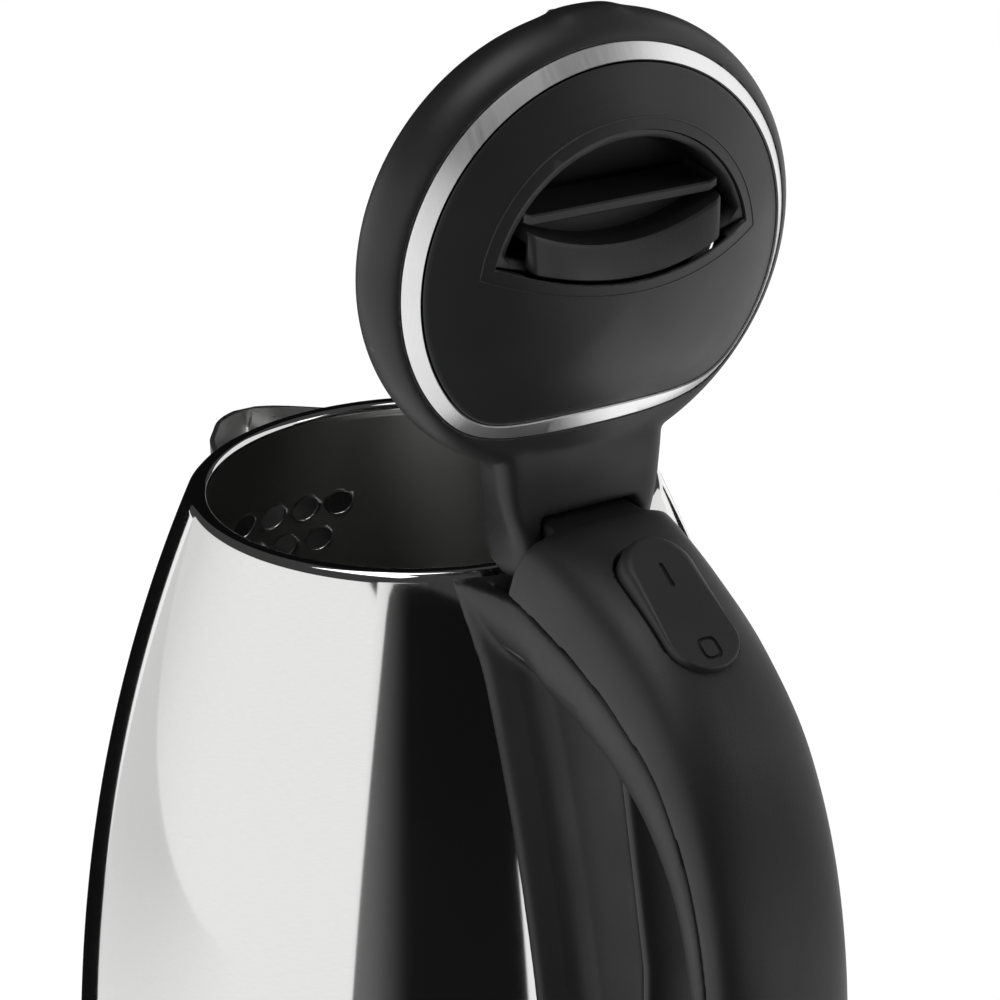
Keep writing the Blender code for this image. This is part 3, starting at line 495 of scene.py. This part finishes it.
def beak_sections(inset, top_lift):
    """The spout's solid outside, or with an inset and a lifted top the space inside it."""
    sections = []
    for x, half, top, low in smooth_rows(SPOUT, 8):
        half, low = max(half - inset, 0.6), low + inset * 1.4
        x += inset * min(1.0, max(0.0, (-x - 76) / 5))
        sweep = [radians(180 * step / 40) for step in range(41)]
        section = [(x, half * cos(a), RIM_Z + top - (top - low) * sin(a) ** 0.9) for a in sweep]
        if top_lift:
            section += [(x, -half, RIM_Z + top + top_lift), (x, half, RIM_Z + top + top_lift)]
        sections.append(section)
    return sections


def build_spout():
    spout = piece("spout_steel", lofted(beak_sections(0.0, 0.0)), "beak", "jug", ["spout"], 50)
    carve(spout, lofted(beak_sections(SPOUT_WALL, 12.0)))
    carve(spout, jug_space(-0.05))
    round_edges(spout, 0.5, 40)
    # The spout's inward faces well below the rim's plane get near-black steel as painted shade
    spout.data.materials.append(PAINT["painted_shade_steel"])
    for face in spout.data.polygons:
        if face.center.z / MM < RIM_Z - 18 and face.center.x * face.normal.x < 0:
            face.material_index = 1


# ---------------------------------------------------------------- handle
def handle_lines():
    """Stations down the handle: points on the crown, seam and finger side, half-width and rounding."""
    rows = [crown + seam + finger + (half, rounding)
            for crown, seam, finger, half, rounding in zip(CROWN, SEAM, FINGER, HALF_WIDTH, ROUNDING)]
    lift = Vector((0, RIM_Z))
    return [(Vector(row[0:2]) + lift, Vector(row[2:4]) + lift, Vector(row[4:6]) + lift, row[6], row[7])
            for row in smooth_rows(rows, STATIONS)]


def signed_power(value, power):
    return (1 if value >= 0 else -1) * abs(value) ** power


def bowed(base, tip, half, power, steps=36):
    """Half of a superellipse across the handle, from its straight base to its tip."""
    section = []
    for step in range(steps + 1):
        angle = pi * step / steps
        side = signed_power(cos(angle), power)
        place = base + (tip - base) * abs(sin(angle)) ** power
        section.append(Vector((place.x, half * side, place.y)))
    return section


def shell_sections(stations, tip_index):
    sections = []
    for station in stations:
        seam, tip = station[1], station[tip_index]
        base = seam + (tip - seam).normalized() * GAP
        sections.append(bowed(base, tip, station[3], station[4]))
    return sections


def finger_gap_outline():
    line = [station[2] for station in handle_lines()]
    return [(40, line[0].y)] + [(point.x, point.y) for point in line] + [(40, line[-1].y)]


def slope_frame():
    tilt = Matrix.Rotation(radians(ROCKER_SLOPE), 4, "Y")
    return Matrix.Translation(ROCKER_AXIS) @ tilt @ Matrix.Translation((0, 0, ROCKER_PIVOT))


def build_handle():
    stations = handle_lines()
    crown = shell_sections(stations[CROWN_START * STATIONS:], 0)
    for index, lean in enumerate(CROWN_LEAN):
        for point in crown[index]:
            point.x += lean * 0.42 * (point.z - RIM_Z - 7.5)
    outer = piece("handle_crown", lofted(crown), "grip", "jug", ["grip_outer_shell"])
    carve(outer, slab(hinge_hump(), -HUMP_HALF, HUMP_HALF), "UNION")
    carve(outer, jug_space(0.35, 0.0))
    soften(outer, 0.5, 8)
    for side in (-1, 1):
        notch = [(40, RIM_Z), (62.4, RIM_Z), (62.7, RIM_Z + 9), (40, RIM_Z + 9)]
        carve(outer, slab(notch, *sorted((side * 9.7, side * ARM_HALF))))
    carve(outer, moved(prism(stadium(ROCKER_LENGTH + 0.9, ROCKER_WIDTH + 0.7), -9, 9), slope_frame()))
    keeled = [(*station[:4], rounding) for station, rounding in zip(stations, finger_rounding(len(stations)))]
    inner = piece("handle_frame", lofted(shell_sections(keeled, 2)), "grip", "jug",
                  ["grip_inner_shell", "spine_side_left", "spine_side_right"])
    pocket = [(40, RIM_Z - HINGE_SEAT), (62.0, RIM_Z - HINGE_SEAT), (62.0, RIM_Z + 8), (40, RIM_Z + 8)]
    carve(inner, slab(pocket, -ARM_HALF, ARM_HALF))
    carve(inner, spine_shape(), "UNION")
    carve(inner, jug_space(0.35))
    soften(inner, 0.6, 22)
    # The spine's side faces between the flange and the rib get the darker plastic as painted shade
    inner.data.materials.append(PAINT["dark"])
    for face in inner.data.polygons:
        middle = face.center / MM
        depth = RIM_Z - middle.z
        reach = middle.x - wall_r(max(depth, 0.5))
        if depth > 12 and 2.6 < reach and middle.x < spine_back(depth) + 0.5 and abs(face.normal.y) > 0.45:
            face.material_index = 1
    build_spine_cover()
    build_hinge_block()
    build_rocker()


def finger_rounding(count):
    """The finger side narrows to a keel towards the jug, where it runs out into the spine."""
    return [max(0.68, 1.15 - 0.5 * step / (3.2 * STATIONS)) for step in range(count)]


def hinge_hump():
    """Outline of the rounded block round the lid's hinge, from the crown's top down to the pocket's floor."""
    floor, back = RIM_Z - HINGE_SEAT, 66.0
    outline = [(back, floor - 2), (back, HINGE.z + KNUCKLE_R)]
    outline += arc(HINGE.x, HINGE.z, KNUCKLE_R, KNUCKLE_R, 90, 200, 22)
    return outline + [(HINGE.x - KNUCKLE_R + 2.0, floor - 2)]


def spine_back(depth):
    """How far out the rib behind the grip reaches at a depth below the rim."""
    return 81.5 + 9.3 * min(1.0, (depth + SPINE_TOP) / 46.0)


def spine_shape():
    sections = []
    for step in range(53):
        depth = 0.6 + (-SPINE_FOOT - 0.6) * step / 52
        flange, back = wall_r(depth), spine_back(max(depth, -SPINE_TOP))
        half = SPINE_HALF + 2.0 * max(0.0, 1 - depth / 17)
        side = [(flange - 4, half), (flange - 0.6, half), (flange + 2.0, half - 3.6), (flange + 4.4, 10.2),
                (flange + 7.0, 8.4), (back, SPINE_BACK_HALF)]
        outline = side + [(x, -y) for x, y in side[::-1]]
        sections.append([(x, y, RIM_Z - depth) for x, y in outline])
    return lofted(sections)


def build_spine_cover():
    sections = []
    for step in range(41):
        depth = -(SPINE_TOP + 2.0) + (SPINE_TOP + 2.0 - SPINE_FOOT) * step / 40
        rim, back = SPINE_BACK_HALF, spine_back(max(depth, -SPINE_TOP)) + GAP
        swell = [(back + 2.6 * sin(radians(a)) ** 0.6, rim * cos(radians(a))) for a in range(0, 181, 10)]
        sections.append([(x, y, RIM_Z - depth) for x, y in swell])
    cover = piece("spine_face", lofted(sections), "grip", "jug", ["spine_cover"])
    carve(cover, slab(finger_gap_outline(), -25, 25), "INTERSECT")


def build_hinge_block():
    floor, low, back = RIM_Z - HINGE_SEAT, RIM_Z - 11.0, 62.5
    block = slab([(40, low), (back, low), (back, floor), (40, floor)], -14.6, 14.6)
    block = piece("hinge_block", block, "black", "jug", ["hinge_mount"])
    carve(block, jug_space(0.3, 0.0))
    round_edges(block, 0.35, 35)


def build_rocker():
    """A stadium whose top face draws in towards the raised end; the two marks are cut into it."""
    place = Matrix.Translation(ROCKER_AXIS) @ Matrix.Rotation(radians(ROCKER_SLOPE + ROCKER_TILT), 4, "Y")
    face, rim = ROCKER_PIVOT + 1.6, ROCKER_PIVOT - 1.2
    full = stadium(ROCKER_LENGTH, ROCKER_WIDTH)

    def drawn_in(x, y, share):
        raised = 0.5 - x / ROCKER_LENGTH
        narrow = 1 - share * (0.04 + 0.30 * raised ** 1.2)
        return x * (1 - 0.055 * share) + 0.5 * share, y * narrow

    levels = [[(x, y, -1.5) for x, y in full], [(x, y, rim - 1.5) for x, y in full]]
    for step in range(9):
        turn = step / 8
        height = rim + (face - rim) * sin(turn * pi / 2) ** 0.75
        levels.append([(*drawn_in(x, y, turn ** 1.7), height) for x, y in full])
    levels.append([(*drawn_in(x * 0.97, y * 0.95, 1.0), face) for x, y in full])
    rocker = piece("rocker_button", moved(lofted(levels), place), "grip", "rocker", ["rocker"], sharp=60)
    depth = 0.4
    stroke = [(x - 5.6, y) for x, y in stadium(5.2, 0.8, 8)]
    carve(rocker, moved(prism(stroke, face - depth, face + 1), place))
    ring = band(superellipse(2.3, 1.95), superellipse(1.65, 1.3), 10.4, face - depth, face + 1)
    carve(rocker, moved(ring, place))
    rocker.data.set_sharp_from_angle(angle=radians(35))
    rocker.data.materials.append(PAINT["mark"])
    into = place.inverted()
    for polygon in rocker.data.polygons:
        middle = into @ (polygon.center / MM)
        if abs(middle.z - face + depth) < 0.05 and abs(middle.y) < 3:
            polygon.material_index = 1


def band(outer, inner, shift, low, high):
    """A closed strip between two outlines of equal count, from low to high."""
    count = len(outer)
    points = [(x + shift, y, z) for line in (outer, inner) for z in (low, high) for x, y in line]
    faces = []
    for k in range(count):
        n = (k + 1) % count
        faces += [(k, n, count + n, count + k), (2 * count + n, 2 * count + k, 3 * count + k, 3 * count + n),
                  (n, k, 2 * count + k, 2 * count + n), (count + k, count + n, 3 * count + n, 3 * count + k)]
    return points, faces


def superellipse(a, b, power=0.6, steps=48):
    outline = []
    for step in range(steps):
        angle = 2 * pi * step / steps
        outline.append((a * signed_power(cos(angle), power), b * signed_power(sin(angle), power)))
    return outline


# ---------------------------------------------------------------- lid
OPEN = Matrix.Translation(HINGE) @ Matrix.Rotation(radians(LID_OPEN), 4, "Y")
LID = OPEN @ Matrix.Translation((-HINGE.x, 0, LID_PLANE_Z - HINGE.z))


def flat_round(angle, radius, flat):
    """Radius of a circle with one side cut flat, its corners eased."""
    facing = max(cos(angle), 1e-6)
    return (radius ** -FLAT_POWER + (flat / facing) ** -FLAT_POWER) ** (-1 / FLAT_POWER)


def ring_drop(angle):
    """The ring lies flatter along its straight side."""
    cut_off = RING_OUTER_R - flat_round(angle, RING_OUTER_R, RING_OUTER_FLAT)
    straight = cut_off / (RING_OUTER_R - RING_OUTER_FLAT)
    return RING_DROP - 1.5 * max(0.0, min(1.0, straight))


def cap_profile(angle):
    seat = flat_round(angle, RING_OUTER_R, RING_OUTER_FLAT)
    off_nose = LID_R * abs(sin(angle)) if cos(angle) < 0 else LID_R
    nose = 0.7 / (1 + (off_nose / 6.0) ** 8)
    shoulder = arc(LID_R - CAP_ROLL, CAP_ROLL_Z, CAP_ROLL, CAP_ROLL_H, 64, 0, 22)
    lower = arc(LID_R - 6.15, CAP_ROLL_Z, 6.15, CAP_ROLL_H, -4, -80, 20)
    body = [(r + nose * min(1.0, max(0.0, (-5.0 - z) / 3.0)), z) for r, z in shoulder + lower]
    start, drop = shoulder[0], ring_drop(angle)
    roll = [(seat + (start[0] - seat) * t, -drop + (start[1] + drop) * t ** 0.8)
            for t in (0.0, 0.12, 0.3, 0.55, 0.8)]
    return [(0.0, -drop)] + roll + body + [(36.0, -16.9), (0.0, -16.9)]


def seat_space():
    """What the ring, the dome and the works under them take out of the cap."""
    def profile(angle):
        drop, seat = ring_drop(angle), flat_round(angle, RING_OUTER_R, RING_OUTER_FLAT) + GAP
        lip = flat_round(angle, RING_INNER_R, RING_INNER_FLAT)
        inside = arc(LID_R - CAP_ROLL - 2.0, CAP_ROLL_Z, CAP_ROLL, 6.6, 50, -65, 16)
        inside = [(min(r, 34.6), z) if cos(angle) > 0.8 else (r, z) for r, z in inside]
        ledge = [(0, 6), (seat, 6), (seat, -drop - 0.15), (seat - 0.9, -drop - 1.0), (lip - 0.5, -1.5),
                 (lip - 3.0, -1.5), (lip - 3.0, -3.4)]
        return ledge + inside + [(34.6, -20), (0, -20)]
    return turned(profile, 224)


def neck_sections():
    sections = []
    for x, top_half, low_half, top, low in smooth_rows(NECK, 6):
        outline = []
        for side, rise, start in ((1, 1, 0), (-1, 1, 90), (-1, -1, 180), (1, -1, 270)):
            half, corner = (top_half, 3.6) if rise > 0 else (low_half, 2.2)
            corner = min(corner, (top - low) * 0.45)
            y, z = side * (half - corner), (top if rise > 0 else low) - rise * corner
            angles = [radians(start + 9 * step) for step in range(11)]
            outline += [(x, y + corner * cos(a), z + corner * sin(a)) for a in angles]
        sections.append(outline)
    return sections


def build_lid():
    cap = piece("lid_cap_and_arm", moved(turned(cap_profile, 224), LID), "black", "lid", ["lid_cap"])
    carve(cap, moved(lofted(neck_sections()), OPEN), "UNION")
    carve(cap, moved(slab([(-7.6, -20), (20, -20), (20, 20), (-7.6, 20)], -10.0, 10.0), OPEN))
    soften(cap, 0.5, 12)
    carve(cap, moved(seat_space(), LID))

    def ring_profile(angle):
        inner = flat_round(angle, RING_INNER_R, RING_INNER_FLAT)
        outer = flat_round(angle, RING_OUTER_R, RING_OUTER_FLAT)
        drop = ring_drop(angle)
        return [(inner, -0.9), (inner, -0.25), (inner + 0.25, 0.0), (outer - 0.3, -drop + 0.22),
                (outer, -drop - 0.1), (outer - 0.1, -drop - 0.8)]
    # The trim ring takes the brighter steel, whose raised base colour is painted light
    piece("lid_trim", moved(turned(ring_profile, 224), LID), "ring", "lid", ["lid_ring"], 30)
    build_plate()
    build_lever()


def dome_height(radius, edge=RING_INNER_R - GAP):
    return DOME_H * (1 - (radius / edge) ** 2)


def recess_half(shrink):
    return sqrt((RECESS_R - shrink) ** 2 - (RECESS_CORNER + shrink) ** 2)


def recess_side(y, shrink):
    """Distance of the recess's bowed side from the axis."""
    return RECESS_EDGE + shrink + (RECESS_CORNER - RECESS_EDGE) * (y / recess_half(shrink)) ** 2


def recess_outline(shrink, steps=56):
    radius, half = RECESS_R - shrink, recess_half(shrink)
    start = acos(-(RECESS_CORNER + shrink) / radius)
    turns = [start + (2 * pi - 2 * start) * step / steps for step in range(steps + 1)]
    side = [-half + half * step / 16 for step in range(1, 32)]
    bow = [(radius * cos(turn), radius * sin(turn)) for turn in turns]
    return bow + [(-recess_side(y, shrink), y) for y in side]


def build_plate():
    def plate_profile(angle):
        edge = flat_round(angle, RING_INNER_R, RING_INNER_FLAT) - GAP
        top = [(edge * k / 40, dome_height(edge * k / 40, edge)) for k in range(40)]
        under = [(edge - 1.0, -0.9), (edge * 0.8, dome_height(edge * 0.8, edge) - SHELL),
                 (edge * 0.5, DOME_H * 0.75 - SHELL), (0.0, DOME_H - SHELL)]
        return top + [(edge - 0.2, 0.15), (edge, -0.1)] + under

    plate = piece("lid_dome", moved(turned(plate_profile, 224), LID), "black", "lid", ["lid_plate"])
    carve(plate, moved(prism(recess_outline(0.0), -10, 20), LID))
    undercut = []
    for step in range(21):
        y = (LEVER_HALF + 0.8) * (step / 10 - 1)
        mouth, roof = -recess_side(y, 0.6), dome_height(hypot(2.5, y)) - 0.75
        undercut.append([(mouth, y, 2.0), (mouth, y, roof), (3.8, y, roof), (3.8, y, 2.0)])
    carve(plate, moved(lofted(undercut), LID))
    line = [Vector((x, y, dome_height(hypot(x, y)) - 0.02)) for x, y in recess_outline(-1.9)]
    piece("recess_border", moved(tube(line, 0.16), LID), "black", "lid")
    block = prism(recess_outline(GAP), RECESS_FLOOR - 1.6, 4.8)
    # The recess bowl takes the darker plastic as painted shade
    cup = piece("recess_bowl", moved(block, LID), "dark", "lid", ["recess_cup"])
    hollow = [[(x, y, 20) for x, y in recess_outline(1.5)]]
    for step in range(7):
        turn = radians(90 * step / 6)
        height, shrink = RECESS_FLOOR + 3.0 * (1 - sin(turn)), 1.5 + 3.0 * (1 - cos(turn))
        hollow.append([(x, y, height) for x, y in recess_outline(shrink)])
    carve(cup, moved(lofted(hollow), LID))


def lever_lip(y):
    """Distance from the axis of the lever's hollow finger edge."""
    return 5.8 + 4.6 * (y / 18.6) ** 2


def build_lever():
    sections = []
    for step in range(61):
        y = LEVER_HALF * (step / 30 - 1)
        end = max(0.0, abs(y) - (LEVER_HALF - 1.6)) / 1.6
        tuck = 0.9 * (1 - sqrt(max(0.0, 1 - end ** 2)))
        near = recess_side(y, 0.0) + 0.4 + tuck
        root = recess_side(y, CUP_INSET) + LEVER_TRAVEL + 0.4
        lip = lever_lip(y)
        crest = dome_height(hypot(near, y), RING_INNER_R) - 1.0 - tuck
        bar = max(11.4, lip + 1.3)
        outline = [(near, 5.2), (near, crest - 0.3), (near + 0.3, crest), (lip - 0.4, 6.5 - tuck),
                   (lip, 6.35 - tuck), (lip + 0.35, 6.0 - tuck), (lip + 0.8, 0.5), (bar, 0.5), (bar, 3.7),
                   (bar + 0.3, 4.0), (bar + 1.6, 4.0), (bar + 1.9, 3.7), (bar + 1.9, -5.0), (root, -5.0),
                   (root, 5.2)]
        sections.append([(-u, y, z) for u, z in outline])
    lever = piece("lid_grip", moved(lofted(sections), LID), "grip", "lid_release", ["lid_lever"], sharp=35)
    # The lever's bar behind its finger edge gets the darker plastic as painted shade
    lever.data.materials.append(PAINT["dark"])
    out = LID.inverted()
    for face in lever.data.polygons:
        place = out @ (face.center / MM)
        if -place.x > lever_lip(place.y) + 0.3:
            face.material_index = 1


# ---------------------------------------------------------------- power base
def build_base():
    low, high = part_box("base_housing")
    radius, top = high.x / MM, high.z / MM
    outside = [(radius - 2.3, low.z / MM), (radius, 5), (radius, 11)]
    outside += arc(radius - 5.5, 13.0, 5.5, 6.5, 0, 80, 14)
    inside = [(17.6, top), (17, top - 0.6), (17, 17), (73.5, 17), (76, 14.8), (77, 11), (77, 5.4)]
    profile = [(75.2, 2.6)] + outside + [(radius - 5.5, top)] + inside
    housing = piece("base_shell", turned(profile, 192), "grip", "base", ["base_housing"])
    carve(housing, rod((-60, 0, 8.5), (-90, 0, 8.5), 4.9))


def repaint_kept_nodes():
    """Gives the CAD nodes that stay in view their finish."""
    slots = {part["node"]: part["material_slot"] for part in frame["record"]["subparts"]}
    for name, node in frame["nodes"].items():
        for index in range(len(node.data.materials)):
            node.data.materials[index] = PAINT[SLOT_PAINT[slots[name]]]


# ---------------------------------------------------------------- studio
def glow(name, strength, fade=None):
    """An even glow, or one that runs from another strength: fade is (strength, start x, end x) in metres."""
    material = bpy.data.materials.new(name)
    material.use_nodes = True
    tree = material.node_tree
    tree.nodes.remove(tree.nodes["Principled BSDF"])
    lamp = tree.nodes.new("ShaderNodeEmission")
    lamp.inputs["Strength"].default_value = strength
    if fade:
        place, split = tree.nodes.new("ShaderNodeTexCoord"), tree.nodes.new("ShaderNodeSeparateXYZ")
        spread = tree.nodes.new("ShaderNodeMapRange")
        spread.interpolation_type = "SMOOTHSTEP"
        for socket, value in zip(("From Min", "From Max", "To Min", "To Max"), (*fade[1:], fade[0], strength)):
            spread.inputs[socket].default_value = value
        tree.links.new(place.outputs["Object"], split.inputs[0])
        tree.links.new(split.outputs["X"], spread.inputs["Value"])
        tree.links.new(spread.outputs[0], lamp.inputs["Strength"])
    tree.links.new(lamp.outputs[0], tree.nodes["Material Output"].inputs["Surface"])
    return material


def board(name, corners, strength, fade=None):
    """A flat studio board with its corners in metres that the camera looks through; strength is its glow."""
    mesh = bpy.data.meshes.new(name)
    mesh.from_pydata(corners, [], [tuple(range(len(corners)))])
    mesh.materials.append(glow(name + "_look", strength, fade))
    made = bpy.data.objects.new(name, mesh)
    bpy.context.scene.collection.objects.link(made)
    made.visible_camera = False
    made.visible_shadow = False


def card(name, corners, strength):
    """A board that lies just above the floor."""
    board(name, [(x, y, 0.002) for x, y in corners], strength)


def wall_between(start, end, height):
    return [(*start, 0), (*end, 0), (*end, height), (*start, height)]


def soft_box(name, place, target, size, power):
    data = bpy.data.lights.new(name, "AREA")
    data.shape = "RECTANGLE"
    data.size, data.size_y = size
    data.energy = power
    lamp = bpy.data.objects.new(name, data)
    lamp.location = place
    lamp.rotation_euler = (Vector(target) - Vector(place)).to_track_quat("-Z", "Y").to_euler()
    bpy.context.scene.collection.objects.link(lamp)


def build_studio():
    paper = Shader("floor_look", Roughness=0.9)
    paper.feed("Base Color", paper.ramp(paper.noise(paper.place, 3.0), 0.10, 0.14))
    paper.surface.inputs["Emission Color"].default_value = (1, 1, 1, 1)
    paper.surface.inputs["Emission Strength"].default_value = 0.98
    mesh = bpy.data.meshes.new("floor")
    mesh.from_pydata([(x, y, 0.0) for x, y in ((-9, -9), (9, -9), (9, 9), (-9, 9))], [], [(0, 1, 2, 3)])
    mesh.materials.append(paper.material)
    floor = bpy.data.objects.new("floor", mesh)
    bpy.context.scene.collection.objects.link(floor)

    key_end, corner_end = (0.50, -0.62), (0.70, -0.38)
    board("key_wall", wall_between((-2.2, -0.62), key_end, 0.5), 1.0, (0.8, -1.2, -0.1))
    board("corner_wall", wall_between(key_end, corner_end, 0.6), 0.08, (0.97, 0.50, 0.68))
    board("back_wall", wall_between((0.9, 0.9), (-0.5, 1.0), 1.2), 0.9)
    board("front_card", [(x, y, 0.001) for x, y in (
        (-2.2, -0.62), key_end, (0.255, -0.33), (0.058, -0.053), (-0.03, -0.08), (-0.125, -0.1075),
        (-0.302, -0.138), (-2.2, -0.585))], 1.0, (0.72, -0.45, 0.05))
    board("left_flag", [(-0.302, -0.138, 0), (-0.302, 0.3, 0), (-0.302, 0.3, 0.9), (-0.302, -0.05, 0.9),
                        (-0.302, -0.05, 0.33)], 0.004)
    card("left_card", ((-0.03, -0.08), (-0.125, -0.1075), (-0.302, -0.138), (-0.302, 0.3), (0.0, 0.06)), 0.004)
    along, foot, end = Vector((0.669, 0.743, 0)), Vector((0.255, -0.330, 0)), 0.403
    edge = [(-0.015, 0.0), (0.046, 0.333), (0.052, 0.35), (0.066, 0.361), (0.085, 0.365), (end, 0.365),
            (end, 0.0)]
    board("right_flag", [foot + along * s + Vector((0, 0, z)) for s, z in edge], 0.006, (0.16, 0.25, 0.335))
    card("centre_card", ((0.085, -0.022), (0.525, -0.030), (0.50, 0.10), (0.10, 0.08)), 0.05)
    card("rear_card", ((0.0, 0.06), (-0.302, 0.3), (-0.5, 0.7), (-0.28, 0.65), (0.03, 0.08)), 0.01)
    near, far = foot - along * 0.015, foot + along * end
    board("right_card", [(0.058, -0.053, 0.002), near, far, (0.085, -0.022, 0.002)], 0.006)
    soft_box("top_light", (0.1, -0.3, 1.5), (0.03, 0, 0.2), (0.9, 0.9), 6)
    soft_box("fill_light", (0.9, 0.9, 0.9), (0.05, 0, 0.25), (0.6, 0.6), 2)
    bpy.context.scene.view_settings.view_transform = "Standard"


def build_world():
    """White behind the kettle for the camera, nearly dark for everything else."""
    world = bpy.data.worlds.new("studio")
    world.use_nodes = True
    tree = world.node_tree
    seen, unseen = tree.nodes["Background"], tree.nodes.new("ShaderNodeBackground")
    seen.inputs["Color"].default_value = (1, 1, 1, 1)
    seen.inputs["Strength"].default_value = 1.0
    unseen.inputs["Color"].default_value = (1, 1, 1, 1)
    unseen.inputs["Strength"].default_value = 0.05
    path, mix = tree.nodes.new("ShaderNodeLightPath"), tree.nodes.new("ShaderNodeMixShader")
    tree.links.new(path.outputs["Is Camera Ray"], mix.inputs[0])
    tree.links.new(unseen.outputs[0], mix.inputs[1])
    tree.links.new(seen.outputs[0], mix.inputs[2])
    tree.links.new(mix.outputs[0], tree.nodes["World Output"].inputs["Surface"])
    bpy.context.scene.world = world


build_jug()
build_handle()
build_lid()
build_base()
repaint_kept_nodes()
build_studio()
build_world()
